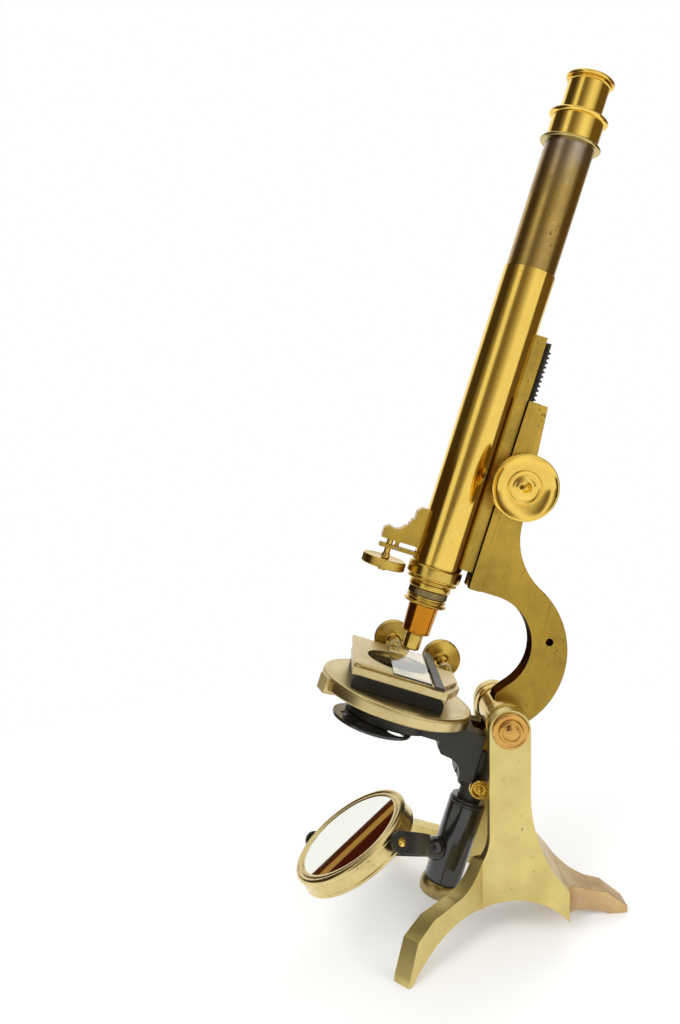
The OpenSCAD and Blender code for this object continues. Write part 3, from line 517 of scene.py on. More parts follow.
class Finishes:
    """The finishes of the whole instrument.

    SLOTS holds the finish of each of the record's material slots, and MORE the finishes of single
    pieces, by their own names.
    """

    SLOTS = {
        "lacquered_brass": Finish("lacquered_brass", (0.9, 0.63, 0.13), (0.6, 0.34, 0.05),
                                  rough=0.12, cloud=0.25, spots=0.25, spread=0.08,
                                  grain=Grain.ROUND, bump=0.0015),
        "satin_brass": Finish("satin_brass", (0.71, 0.585, 0.225), (0.5, 0.37, 0.12), rough=0.33,
                              cloud=0.45, spots=0.7, spread=0.16, grain=Grain.UP),
        "coppery_lacquer": Finish("coppery_lacquer", (0.56, 0.23, 0.014), (0.36, 0.1, 0.008),
                                  rough=0.13, cloud=0.3, spots=0.2, grain=Grain.ROUND, bump=0.001),
        "dark_bronze": Finish("dark_bronze", (0.024, 0.024, 0.019), (0.052, 0.045, 0.028),
                              spot=(0.09, 0.065, 0.035), rough=0.34, metallic=0.35, cloud=0.5,
                              spots=0.35),
        "black_enamel": Finish("black_enamel", (0.012, 0.012, 0.012), (0.03, 0.028, 0.022),
                               spot=(0.05, 0.045, 0.035), rough=0.16, metallic=0.0, coat=0.6,
                               grain=Grain.UP),
        "patinated_brass": Finish("patinated_brass", (0.6, 0.42, 0.15), (0.26, 0.22, 0.17),
                                  spot=(0.06, 0.045, 0.03), rough=0.25, cloud=0.9, spots=0.6,
                                  spread=0.2, grain=Grain.UP, bump=0.003),
        "steel": Finish("steel", (0.4, 0.39, 0.37), (0.18, 0.16, 0.13), rough=0.3),
        "lens_glass": Glass("lens_glass", (0.97, 0.99, 0.98), 1.0),
        "mirror_glass": Glass("mirror_glass", (0.82, 0.84, 0.77), 0.0),
    }
    LIMB_BRASS = Finish("limb_brass", (0.45, 0.29, 0.045), (0.24, 0.16, 0.035), rough=0.33,
                        cloud=0.55, spots=0.8, streaks=0.55, spread=0.16, grain=Grain.UP,
                        fade=(60, 150), faded=(0.68, 0.45, 0.075))
    MORE = (
        LIMB_BRASS,
        # The bow's outline faces and bore get a painted dark-brown shade.
        replace(LIMB_BRASS, name="bow_brass_edge_shaded", edge=(0.11, 0.06, 0.014)),
        Finish("foot_brass", (0.68, 0.5, 0.22), (0.5, 0.32, 0.2), rough=0.36, cloud=0.7, spots=0.8,
               spread=0.16, grain=Grain.ACROSS),
        Finish("stage_brass", (0.66, 0.54, 0.26), (0.46, 0.36, 0.14), rough=0.3, cloud=0.5,
               spots=0.6, spread=0.14, grain=Grain.ACROSS, bump=0.003),
        Finish("pale_lacquer", (0.7, 0.48, 0.1), (0.38, 0.26, 0.05), rough=0.17,
               spread=0.08, grain=Grain.ROUND, bump=0.0015),
        Finish("flange_brass", (0.6, 0.47, 0.17), (0.3, 0.26, 0.1), rough=0.2, cloud=0.6,
               spots=0.5, spread=0.1, grain=Grain.ROUND, bump=0.0015),
        Finish("ferrule_brass", (0.36, 0.28, 0.11), (0.16, 0.13, 0.07), rough=0.3, cloud=0.8,
               spots=0.7, spread=0.14, grain=Grain.UP, bump=0.003),
        Finish("rim_brass", (0.74, 0.6, 0.27), (0.45, 0.34, 0.12), rough=0.2, cloud=0.6, spots=0.6,
               spread=0.12, bump=0.002),
        Finish("coppery_cap", (0.66, 0.385, 0.1), (0.45, 0.2, 0.06), rough=0.1, spots=0.2,
               bump=0.001),
        Finish("draw_patina", (0.56, 0.37, 0.1), (0.32, 0.22, 0.08), spot=(0.07, 0.05, 0.03),
               rough=0.24, cloud=0.8, spots=0.9, streaks=0.5, spread=0.2, grain=Grain.UP,
               bump=0.003, fade=(338, 372), faded=(0.42, 0.37, 0.32)),
        Finish("clip_steel", (0.055, 0.052, 0.042), (0.03, 0.026, 0.016), rough=0.34, cloud=0.5,
               spots=0.5),
        Finish("dull_black", (0.014, 0.013, 0.01), (0.032, 0.027, 0.016), spot=(0.06, 0.05, 0.03),
               rough=0.46, metallic=0.0, cloud=0.5, shine=0.12),
    )

    def __init__(self) -> None:
        """Builds the shared groups and every material."""
        makers = NodeGroups()
        groups = {"tarnish": makers.tarnish(), "grain": makers.grain(), "fade": makers.fade()}
        self.made = {slot: finish.build(groups) for slot, finish in self.SLOTS.items()}
        self.made.update({finish.name: finish.build(groups) for finish in self.MORE})

    def dress(self, piece: object, slot: str) -> None:
        """Gives a piece one material.

        Args:
            piece: the mesh object.
            slot: the finish's name.
        """
        piece.data.materials.clear()
        piece.data.materials.append(self.made[slot])

    def dress_nodes(self) -> None:
        """Gives every CAD node the finish that the record names."""
        for entry in frame["record"]["subparts"]:
            node = entry["node"]
            self.dress(frame["nodes"][node], entry["material_slot"])


@dataclass(frozen=True)
class Stroke:
    """A run of a turned profile from one point to the next, straight or bulging.

    Attributes:
        end: radius and height of its end, in mm.
        bulge: how far its middle stands off the straight line, to the left of its run, in mm.
        parts: pieces that a bulging run is cut into.
    """

    end: Pair
    bulge: float = 0.0
    parts: int = 5

    def points(self, start: Pair) -> list[Pair]:
        """Gives the points after the start.

        Args:
            start: radius and height of the run's start, in mm.

        Returns:
            The points up to and with the end.
        """
        if not self.bulge:
            return [self.end]
        dr, dz = self.end[0] - start[0], self.end[1] - start[1]
        length = math.hypot(dr, dz)
        found = []
        for step in range(1, self.parts + 1):
            share = step / self.parts
            lift = 4 * share * (1 - share) * self.bulge / length
            radius = start[0] + dr * share - dz * lift
            found.append((max(0.0, radius), start[1] + dz * share + dr * lift))
        return found


def profile(start: Pair, *runs: Stroke | Pair) -> list[Pair]:
    """Strings runs together to a turned profile.

    Args:
        start: radius and height of the first point, in mm.
        runs: the runs, a bare pair being a straight one.

    Returns:
        All points of the profile.
    """
    found = [start]
    for run in runs:
        stroke = run if isinstance(run, Stroke) else Stroke(run)
        found.extend(stroke.points(found[-1]))
    return found


class Axis(Enum):
    """Turns that point a turned piece's axis, which is upright when made."""

    UP = Matrix.Identity(4)
    NEAR = Matrix.Rotation(math.radians(90), 4, "X")
    FAR = Matrix.Rotation(math.radians(-90), 4, "X")
    BACK = Matrix.Rotation(math.radians(90), 4, "Y")


@dataclass
class Workshop:
    """Modelling steps that the sub-assemblies share.

    WELD and CAD_WELD are the distances, in metres, below which points are merged. CAD_FLAT is the
    angle, in degrees, below which a CAD node's faces are. TOOTH_GAP is half the land between two
    milled grooves, in mm. A face lies on a milled band if it stands within BAND_REACH, in mm, of
    the band's radius, with a normal that points up or down by less than BAND_LEAN.

    Attributes:
        finishes: the finishes of the instrument.
        limb: the frame of the optical axis.
        smooth: edges flatter than this are shaded smooth, in degrees.
        sharp: edges steeper than this are rounded, in degrees.
    """

    WELD = 1e-6
    CAD_WELD = 5e-6
    CAD_FLAT = 0.6
    TOOTH_GAP = 0.14
    BAND_REACH = 0.12
    BAND_LEAN = 0.1

    finishes: Finishes
    limb: LimbFrame
    smooth: float = 32.0
    sharp: float = 28.0

    @staticmethod
    def clear() -> None:
        """Leaves object mode on and nothing selected."""
        if bpy.context.object and bpy.context.object.mode != "OBJECT":
            bpy.ops.object.mode_set(mode="OBJECT")
        bpy.ops.object.select_all(action="DESELECT")

    def pick(self, piece: object) -> None:
        """Selects one piece and makes it active.

        Args:
            piece: the mesh object.
        """
        self.clear()
        piece.select_set(True)
        bpy.context.view_layer.objects.active = piece

    def edit(self, piece: object, wanted: object = None) -> None:
        """Opens a piece for editing with some of its faces selected.

        Args:
            piece: the mesh object.
            wanted: says of each face whether it is selected; all are where it is left out.
        """
        self.pick(piece)
        mesh = piece.data
        for part in (mesh.vertices, mesh.edges, mesh.polygons):
            part.foreach_set("select", [False] * len(part))
        for face in mesh.polygons:
            face.select = wanted is None or wanted(face)
        bpy.ops.object.mode_set(mode="EDIT")
        bpy.ops.mesh.select_mode(type="FACE")

    def apply(self, piece: object, modifier: object) -> None:
        """Applies one modifier.

        Args:
            piece: the mesh object.
            modifier: the modifier.
        """
        self.pick(piece)
        bpy.ops.object.modifier_apply(modifier=modifier.name)

    def soften(self, piece: object, width: float, steps: int = 2, clamp: bool = True) -> None:
        """Rounds the sharp edges and evens the shading of the flats.

        Args:
            piece: the mesh object.
            width: width of the rounding, in mm.
            steps: segments across the rounding.
            clamp: whether the rounding gives way where edges are short.
        """
        bevel = piece.modifiers.new("soft_edges", "BEVEL")
        bevel.width = width * MM
        bevel.segments = steps
        bevel.limit_method = "ANGLE"
        bevel.angle_limit = math.radians(self.sharp)
        bevel.use_clamp_overlap = clamp
        self.apply(piece, bevel)

    def shade(self, piece: object) -> None:
        """Shades the piece smooth except at its sharp edges, with the large faces kept flat.

        Args:
            piece: the mesh object.
        """
        self.pick(piece)
        bpy.ops.object.shade_smooth_by_angle(angle=math.radians(self.smooth))
        even = piece.modifiers.new("even_shading", "WEIGHTED_NORMAL")
        even.keep_sharp = True
        self.apply(piece, even)

    def settle(self, piece: object, place: Matrix) -> None:
        """Moves a finished mesh to its place, with its object left at the origin.

        Args:
            piece: the mesh object.
            place: the placing matrix, in metres.
        """
        self.pick(piece)
        piece.matrix_world = place
        bpy.ops.object.transform_apply(location=True, rotation=True, scale=True)

    def turned(self, points: list[Pair], place: Matrix, steps: int = 96,
               soft: float = 0.12) -> object:
        """Turns a profile about the upright axis.

        Args:
            points: radius and height of each point, in mm, inside to outside.
            place: the placing matrix, in metres.
            steps: faces around.
            soft: width of the rounding of its edges, in mm.

        Returns:
            The turned piece.
        """
        self.clear()
        bpy.ops.mesh.primitive_plane_add(size=MM, location=(0, 0, 0))
        piece = bpy.context.object
        bpy.ops.object.mode_set(mode="EDIT")
        bpy.ops.mesh.select_mode(type="VERT")
        bpy.ops.mesh.select_all(action="SELECT")
        bpy.ops.mesh.merge(type="CENTER")
        bpy.ops.transform.translate(value=(points[0][0] * MM, 0, points[0][1] * MM))
        for (r0, z0), (r1, z1) in zip(points, points[1:]):
            step = ((r1 - r0) * MM, 0, (z1 - z0) * MM)
            bpy.ops.mesh.extrude_region_move(TRANSFORM_OT_translate={"value": step})
        bpy.ops.mesh.select_all(action="SELECT")
        bpy.ops.mesh.spin(steps=steps, angle=2 * math.pi, center=(0, 0, 0), axis=(0, 0, 1))
        bpy.ops.mesh.select_all(action="SELECT")
        bpy.ops.mesh.remove_doubles(threshold=self.WELD)
        bpy.ops.mesh.normals_make_consistent(inside=False)
        bpy.ops.object.mode_set(mode="OBJECT")
        if soft:
            self.soften(piece, soft)
        self.shade(piece)
        self.settle(piece, place)
        return piece

    def milled(self, points: list[Pair], place: Matrix, steps: int, bands: tuple[Pair, ...],
               radius: float, depth: float = 0.25, soft: float = 0.1) -> object:
        """Turns a head and mills fine teeth into its bands.

        Args:
            points: the profile, in mm.
            place: the placing matrix, in metres.
            steps: teeth around.
            bands: lowest and highest height of each milled band, in mm.
            radius: radius of the bands, in mm.
            depth: depth of the teeth, in mm.
            soft: width of the rounding of its edges, in mm.

        Returns:
            The milled head.
        """
        piece = self.turned(points, Matrix.Identity(4), steps, soft)

        def on_band(face: object) -> bool:
            """Says whether a face lies on a milled band."""
            middle = face.center / MM
            level = any(low < middle.z < high for low, high in bands)
            outer = abs(math.hypot(middle.x, middle.y) - radius) < self.BAND_REACH
            return level and outer and abs(face.normal.z) < self.BAND_LEAN

        self.edit(piece, on_band)
        bpy.ops.mesh.inset(thickness=self.TOOTH_GAP * MM, depth=-depth * MM, use_individual=True)
        bpy.ops.object.mode_set(mode="OBJECT")
        self.shade(piece)
        self.settle(piece, place)
        return piece

    def softened(self, node: str, width: float = 0.35, clamp: bool = False) -> object:
        """Copies a CAD node's mesh, merges its triangles and rounds its sharp edges.

        Args:
            node: the CAD node.
            width: width of the rounding, in mm.
            clamp: whether the rounding gives way where edges are short.

        Returns:
            The softened copy.
        """
        self.clear()
        piece = bpy.data.objects.new(f"{node}_softened", frame["nodes"][node].data.copy())
        bpy.context.scene.collection.objects.link(piece)
        self.edit(piece)
        bpy.ops.mesh.remove_doubles(threshold=self.CAD_WELD)
        bpy.ops.mesh.dissolve_limited(angle_limit=math.radians(self.CAD_FLAT))
        bpy.ops.object.mode_set(mode="OBJECT")
        bpy.ops.mesh.customdata_custom_splitnormals_clear()
        self.soften(piece, width, clamp=clamp)
        self.shade(piece)
        return piece

    def slotted(self, piece: object, radius: float, top: float, width: float, depth: float,
                turn: float = 0.0) -> None:
        """Cuts a screwdriver slot across an upright piece that isn't placed yet.

        Args:
            piece: the mesh object.
            radius: radius that the slot crosses, in mm.
            top: height of the head's top, in mm.
            width: width of the slot, in mm.
            depth: depth of the slot, in mm.
            turn: direction of the slot, in degrees.
        """
        self.clear()
        bpy.ops.mesh.primitive_cube_add(size=MM, location=(0, 0, top * MM))
        cutter = bpy.context.object
        cutter.scale = (2.4 * radius, width, 2 * depth)
        cutter.rotation_euler = (0, 0, math.radians(turn))
        bpy.ops.object.transform_apply(location=True, rotation=True, scale=True)
        cut = piece.modifiers.new("slot", "BOOLEAN")
        cut.operation = "DIFFERENCE"
        cut.solver = "EXACT"
        cut.object = cutter
        self.apply(piece, cut)
        bpy.data.meshes.remove(cutter.data)

    def screw(self, radius: float, height: float, place: Matrix, turn: float = 20.0) -> object:
        """Makes a domed, slotted screw head with its shank's start below.

        Args:
            radius: radius of the head, in mm.
            height: height of the head, in mm.
            place: the placing matrix of its seat, in metres.
            turn: direction of the slot, in degrees.

        Returns:
            The screw.
        """
        shape = profile((0, -0.4), (0.5 * radius, -0.4), (0.5 * radius, 0), (0.94 * radius, 0),
                        (radius, 0.12 * height), (radius, 0.55 * height),
                        Stroke((0, height), 0.12 * height, 6))
        piece = self.turned(shape, Matrix.Identity(4), 40, 0.06)
        self.slotted(piece, radius, height, 0.3 * radius, 0.4 * height, turn)
        self.shade(piece)
        self.settle(piece, place)
        return piece

    def deliver(self, piece: object, name: str, body: str, finish: str,
                nodes: tuple[str, ...] = ()) -> None:
        """Names a piece, dresses it and hands it to the frame.

        Args:
            piece: the mesh object.
            name: its name.
            body: the CAD body that it rides on.
            finish: its finish.
            nodes: the CAD nodes that it replaces.
        """
        piece.name = piece.data.name = name
        self.finishes.dress(piece, finish)
        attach(piece, body)
        if nodes:
            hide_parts(*nodes)
        LOG.info("made %s on %s, %d faces", name, body, len(piece.data.polygons))

    def carry_over(self, nodes: dict[str, float], body: str, finish: str) -> None:
        """Softens several CAD nodes of one body.

        Args:
            nodes: width of the rounding by node, in mm.
            body: the body that they ride on.
            finish: their finish.
        """
        for node, width in nodes.items():
            self.deliver(self.softened(node, width), f"{node}_softened", body, finish,
                         (node,))


@dataclass
class Stand:
    """The two uprights with their toes, the rear foot and the trunnion caps. Sizes are in mm.

    Attributes:
        outer_y: distance of an upright's outer face from the middle.
        cap_r: radius of a trunnion cap.
    """

    outer_y: float = 35.82
    cap_r: float = 11.9

    def caps(self, shop: Workshop) -> None:
        """Turns the two trunnion caps: a rounded rim, a ring and a dome.

        Args:
            shop: the shared modelling steps.
        """
        r = self.cap_r
        shape = profile((0, 0), (r, 0), (r, 1.3), Stroke((0.87 * r, 2.5), -0.35),
                        Stroke((0.71 * r, 2.3), 0.2), (0.68 * r, 2.2), (0.67 * r, 3.1),
                        Stroke((0.57 * r, 4.3), -0.3), Stroke((0.48 * r, 4.2), -0.2),
                        (0.46 * r, 3.9), Stroke((0, 5.6), -0.55, 8))
        for side, axis, name in ((-1, Axis.NEAR, "near_cap"), (1, Axis.FAR, "far_cap")):
            place = Matrix.Translation((shop.limb.trunnion_x * MM, side * self.outer_y * MM,
                                        shop.limb.trunnion_z * MM)) @ axis.value
            shop.deliver(shop.turned(shape, place, 96, 0.1), name, "stand", "coppery_cap",
                         ("trunnion_caps",))

    def build(self, shop: Workshop) -> None:
        """Builds the stand.

        Args:
            shop: the shared modelling steps.
        """
        shop.carry_over({"near_upright": 0.4, "far_upright": 0.4}, "stand", "satin_brass")
        shop.carry_over({"rear_foot": 0.4}, "stand", "foot_brass")
        self.caps(shop)


@dataclass
class LimbParts:
    """The limb with its collars, the stage bracket and the tail's clamp. Sizes are in mm.

    Attributes:
        collar_y: distance of a collar's outer end from the middle.
        collar_r: radius of a collar.
        barrel_r: radius of the barrel that the collars sit on.
        clamp: place of the clamp head's seat in the limb's frame.
        clamp_r: radius of the clamp head.
    """

    collar_y: float = 26.3
    collar_r: float = 13.9
    barrel_r: float = 9.82
    clamp: tuple[float, float, float] = (69.5, -15.0, -48.6)
    clamp_r: float = 6.7

    def collars(self, shop: Workshop) -> None:
        """Turns the barrel between the uprights, with a ring and a wide band at either end.

        Args:
            shop: the shared modelling steps.
        """
        r, inner, span = self.collar_r, self.barrel_r, 2 * self.collar_y
        near = profile((inner, 0), (r - 0.2, 0), Stroke((r - 0.2, 2.0), -0.5, 5), (r - 0.9, 2.3),
                       (r - 0.9, 3.1), (r, 3.4), (r, 9.6), Stroke((r - 0.6, 10.4), -0.1, 3),
                       (r - 1.0, 10.6))
        shape = near + [(x, span - z) for x, z in reversed(near)] + [(inner, 0)]
        place = shop.limb.at(shop.limb.pivot_back, -self.collar_y, 0) @ Axis.FAR.value
        shop.deliver(shop.turned(shape, place, 96, 0.08), "trunnion_barrel", "limb",
                     "pale_lacquer", ("barrel_collars",))

    def clamp_head(self, shop: Workshop) -> None:
        """Turns the milled clamp head of the tail: a bright ring round a dish with a domed middle.

        Args:
            shop: the shared modelling steps.
        """
        r = self.clamp_r
        shape = profile((0, -6.9), (2.5, -6.9), (2.5, 0), (4, 0), (4, 1.2), (r - 0.3, 1.7),
                        (r, 2.1), (r, 4.3), Stroke((r - 1.6, 6.1), -0.45),
                        Stroke((r - 2.9, 4.5), 0.15), Stroke((r - 4.2, 4.4), 0.2),
                        Stroke((0, 6.7), -0.6, 7))
        x, y, z = self.clamp
        place = shop.limb.at(x, y, z) @ Axis.NEAR.value
        shop.deliver(shop.milled(shape, place, 60, ((2.1, 4.3),), r, 0.2), "clamp_head", "clamp",
                     "pale_lacquer", ("tail_clamp_screw",))

    def build(self, shop: Workshop) -> None:
        """Builds the limb's pieces.

        Args:
            shop: the shared modelling steps.
        """
        shop.carry_over({"limb": 0.35}, "limb", "bow_brass_edge_shaded")
        shop.carry_over({"stage_bracket": 0.3}, "limb", "dark_bronze")
        self.collars(shop)
        self.clamp_head(shop)


@dataclass
class Focusing:
    """The coarse heads, the fine head and the lever it works. Sizes are in mm.

    Attributes:
        coarse: distance behind the optical axis and height of the pinion.
        coarse_y: distance of a coarse head's inner face from the middle.
        coarse_r: radius of the coarse heads.
        fine: distance in front of the optical axis and height of the fine head.
        fine_r: radius of the fine head.
    """

    coarse: Pair = (33.62, 151.0)
    coarse_y: float = 27.0
    coarse_r: float = 21.3
    fine: Pair = (-34.7, 75.3)
    fine_r: float = 14.8

    def coarse_heads(self, shop: Workshop) -> None:
        """Turns and mills the coarse heads: a thin rim, a wide dish, a ring and a dome.

        Args:
            shop: the shared modelling steps.
        """
        r = self.coarse_r
        shape = profile((0, -8), (6, -8), (6, -2), Stroke((9, 0), 0.6, 4), (r - 0.8, 0), (r, 0.8),
                        (r, 5.3), (r - 0.6, 5.8), (r - 0.6, 6.5), (r, 6.9), (r, 8.2),
                        Stroke((r - 1.1, 8.8), -0.2, 3), Stroke((0.53 * r, 4.9), 1.0, 9),
                        (0.52 * r, 5.0), Stroke((0.44 * r, 5.2), -0.55, 6),
                        Stroke((0.3 * r, 5.6), 0.35, 5), Stroke((0.2 * r, 6.2), -0.15, 3),
                        Stroke((0.05 * r, 9.4), 0.25, 5), (0, 9.75))
        x, z = self.coarse
        for side, axis, name in ((-1, Axis.NEAR, "near_coarse_head"),
                                 (1, Axis.FAR, "far_coarse_head")):
            place = shop.limb.at(x, side * self.coarse_y, z) @ axis.value
            head = shop.milled(shape, place, 132, ((0.8, 5.3), (6.9, 8.2)), r, 0.22)
            shop.deliver(head, name, "pinion", "lacquered_brass",
                         ("coarse_heads",))

    def fine_head(self, shop: Workshop) -> None:
        """Turns and mills the fine head with its tapered neck, its nut and its screw.

        Args:
            shop: the shared modelling steps.
        """
        r = self.fine_r
        shape = profile((0, -4.6), (2.2, -4.6), Stroke((2.6, -4.2), -0.1, 2), (2.6, -2.2),
                        (r - 3.6, -2.2), Stroke((r - 2.2, -1.8), 0.1, 3), (r - 0.5, -2.0),
                        (r, -1.5), (r, 3.9), (r - 0.5, 4.35), Stroke((r - 3.4, 3.7), 0.2, 4),
                        (4.0, 3.6), Stroke((2.9, 4.3), 0.15, 3), (2.9, 7.0), (2.2, 7.3),
                        (2.2, 20.0), (0, 20.0))
        x, z = self.fine
        place = shop.limb.at(x, 0, z)
        shop.deliver(shop.milled(shape, place, 110, ((-1.5, 3.9),), r, 0.12), "fine_milled_head",
                     "fine_screw", "pale_lacquer", ("fine_head",))

    def build(self, shop: Workshop) -> None:
        """Builds the focusing pieces.

        Args:
            shop: the shared modelling steps.
        """
        self.coarse_heads(shop)
        self.fine_head(shop)
        shop.carry_over({"fine_block": 0.25, "slide_bar": 0.25}, "tube", "limb_brass")
        shop.carry_over({"fine_lever": 0.2}, "lever", "limb_brass")


@dataclass
class Tubes:
    """The draw tube, the eyepiece, the nose and the objective. Heights in mm above the trunnion.

    Attributes:
        tube_bottom: lower end of the body tube.
        tube_r: radius of the body tube.
        draw_top: top of the draw tube.
        draw_low: lower end of the draw tube.
        draw_r: radius of the draw tube.
        flange_r: radius of the collar on the draw tube.
        holder_r: radius of the eyepiece's sleeve.
        holder_h: height of that sleeve.
        eye_top: top of the eyepiece.
        eye_r: radius of the eyepiece's barrel.
        eye_flange_r: radius of its top flange.
        nose_low: lower end of the nose tube.
        nose_r: radius of the nose tube.
        front: front of the objective.
    """

    tube_bottom: float = 85.1
    tube_r: float = 17.0
    draw_top: float = 369.9
    draw_low: float = 217.3
    draw_r: float = 16.0
    flange_r: float = 19.9
    holder_r: float = 16.9
    holder_h: float = 17.0
    eye_top: float = 411.9
    eye_r: float = 13.4
    eye_flange_r: float = 15.7
    nose_low: float = 61.5
    nose_r: float = 13.1
    front: float = 24.8

    def draw(self, shop: Workshop) -> None:
        """Turns the draw tube, its collar and the eyepiece's sleeve.

        Args:
            shop: the shared modelling steps.
        """
        r, bore = self.draw_r, self.draw_r - 1.5
        tube = profile((bore, self.draw_low), (r, self.draw_low), (r, self.draw_top - 0.02),
                       (bore, self.draw_top - 0.02), (bore, self.draw_low))
        shop.deliver(shop.turned(tube, shop.limb.matrix(), 128, 0), "draw_tube_turned", "draw",
                     "draw_patina", ("draw_tube",))
        low = self.draw_top - 2.8
        collar = profile((r + 0.02, low + 0.3), Stroke((self.flange_r - 0.9, low + 0.5), 0.15, 3),
                         Stroke((self.flange_r - 0.9, self.draw_top - 0.2), -0.9, 8),
                         (r + 0.02, self.draw_top - 0.02), (r + 0.02, low + 0.3))
        shop.deliver(shop.turned(collar, shop.limb.matrix(), 128, 0.08), "draw_collar_turned",
                     "draw", "flange_brass", ("draw_collar",))
        hold, top = self.holder_r, self.draw_top + self.holder_h
        sleeve = profile((self.eye_r + 0.05, self.draw_top - 15),
                         (bore - 0.02, self.draw_top - 15), (bore - 0.02, self.draw_top + 0.02),
                         (hold, self.draw_top + 0.02), (hold, top - 2.9),
                         Stroke((hold + 1.5, top - 2.3), -0.2, 3),
                         Stroke((hold + 1.5, top - 0.1), -0.85, 8), (self.eye_r + 0.05, top),
                         (self.eye_r + 0.05, self.draw_top - 15))
        shop.deliver(shop.turned(sleeve, shop.limb.matrix(), 128, 0.08), "eyepiece_sleeve_turned",
                     "draw", "lacquered_brass", ("eyepiece_holder",))

    def eyepiece(self, shop: Workshop) -> None:
        """Turns the eyepiece's barrel with its bead and the dished cap.

        Args:
            shop: the shared modelling steps.
        """
        r, low, top = self.eye_r, self.draw_top - 25, self.eye_top
        barrel = profile((r - 1.1, low), (r, low), (r, top - 5.1), Stroke((r, top - 3.4), -1.1, 7),
                         (r, top - 3.02), (r - 1.1, top - 3.02), (r - 1.1, low))
        shop.deliver(shop.turned(barrel, shop.limb.matrix(), 128, 0), "eyepiece_barrel_turned",
                     "eyepiece", "lacquered_brass", ("eyepiece_barrel",))
        flange = self.eye_flange_r
        base = top - 3 + 0.02
        cap = profile((5.6, base - 2.8), (9.2, base - 2.8), (9.2, base), (flange - 0.8, base),
                      Stroke((flange - 0.8, base + 2.2), -0.8, 8),
                      Stroke((flange - 1.6, base + 2.7), -0.1, 3), (9.2, base + 2.95),
                      Stroke((5.2, base + 1.4), 0.4, 4), (5.6, base + 0.2), (5.6, base - 2.8))
        shop.deliver(shop.turned(cap, shop.limb.matrix(), 128, 0.06), "eyepiece_cap_turned",
                     "eyepiece", "lacquered_brass", ("eyepiece_cap",))

    def nose(self, shop: Workshop) -> None:
        """Turns the nose collar, the objective's flange, its coppery barrel and its tip.

        Args:
            shop: the shared modelling steps.
        """
        r, low, n = self.tube_r, self.tube_bottom - 12, self.nose_r + 0.05
        collar = profile((n, low), (r - 0.4, low), Stroke((r - 0.4, low + 1.4), -0.6, 5),
                         (r - 0.9, low + 1.7), (r - 0.9, low + 2.5), (r + 0.7, low + 2.9),
                         Stroke((r + 1.3, low + 3.6), -0.15, 3), (r + 1.3, low + 9.3),
                         Stroke((r + 0.2, low + 10.7), -0.3, 4), (r - 0.6, low + 10.9),
                         (r - 0.6, self.tube_bottom - 0.02), (n, self.tube_bottom - 0.02),
                         (n, low))
        shop.deliver(shop.turned(collar, shop.limb.matrix(), 128, 0.08), "nose_collar_turned",
                     "tube", "pale_lacquer", ("nose_collar",))
        n, low, high = self.nose_r, self.nose_low, self.tube_bottom
        tube = profile((10.1, low), (n - 0.2, low), (n, low + 0.2), (n, low + 1),
                       (n - 0.6, low + 1.3), (n - 0.6, low + 6.1), (n + 0.4, low + 6.3),
                       Stroke((n + 1.1, low + 7), -0.15, 3), (n + 1.1, low + 9),
                       Stroke((n + 0.3, low + 10.3), -0.3, 4), (n, low + 10.4), (n, high + 0.9),
                       (n - 0.9, high + 0.9), (n - 0.9, high + 3.9), (n, high + 3.9),
                       (n, high + 10), (n - 1.7, high + 10), (n - 1.7, low + 6), (10.1, low + 6),
                       (10.1, low))
        shop.deliver(shop.turned(tube, shop.limb.matrix(), 128, 0.06), "nose_tube_turned",
                     "nosepiece", "pale_lacquer", ("nose_tube",))
        band = profile((n - 0.58, low + 1.4), (n - 0.1, low + 1.4), (n + 0.2, low + 1.7),
                       (n + 0.2, low + 5.7), (n - 0.1, low + 6), (n - 0.58, low + 6),
                       (n - 0.58, low + 1.4))
        shop.deliver(shop.milled(band, shop.limb.matrix(), 110, ((low + 1.7, low + 5.7),), n + 0.2,
                                 0.16), "nose_milled_band", "nosepiece", "ferrule_brass")
        seat, top = self.nose_low - 4.52, self.nose_low - 0.02
        mount = profile((7.4, seat), (13.5, seat), Stroke((13.5, seat + 2.2), -1.05, 7),
                        (12.6, seat + 2.5), (12.6, seat + 3.1), (13.2, seat + 3.4),
                        Stroke((13.2, top), -0.5, 4), (10.08, top), (10.08, top + 5.5),
                        (7.4, top + 5.5), (7.4, seat))
        shop.deliver(shop.turned(mount, shop.limb.matrix(), 96, 0.06), "objective_flange_turned",
                     "nosepiece", "pale_lacquer", ("objective_mount",))
        base = self.front + 12.2
        barrel = profile((5, base), (9.1, base), Stroke((9.6, base + 0.6), -0.1, 2),
                         (9.6, base + 1.2), (9.45, base + 1.4), (10.3, seat - 0.02),
                         (7.2, seat - 0.02), (7.2, base + 4), (5, base + 4), (5, base))
        shop.deliver(shop.turned(barrel, shop.limb.matrix(), 96, 0.08), "objective_barrel_turned",
                     "nosepiece", "coppery_lacquer", ("objective_barrel",))
        f = self.front
        tip = profile((2.4, f), (4.4, f), Stroke((6, f + 1.5), -0.25, 4), (6, base - 1.4),
                      (5.7, base - 1.1), (5.7, base - 0.7), (6, base - 0.5), (6, base - 0.02),
                      (4.9, base - 0.02), (4.9, f + 4), (3.4, f + 4), (3.4, f + 1.2),
                      (2.4, f + 1.2), (2.4, f))
        shop.deliver(shop.turned(tip, shop.limb.matrix(), 96, 0.08), "objective_tip_turned",
                     "nosepiece", "pale_lacquer", ("objective_tip",))

    def build(self, shop: Workshop) -> None:
        """Builds the tubes' pieces.

        Args:
            shop: the shared modelling steps.
        """
        self.draw(shop)
        self.eyepiece(shop)
        self.nose(shop)


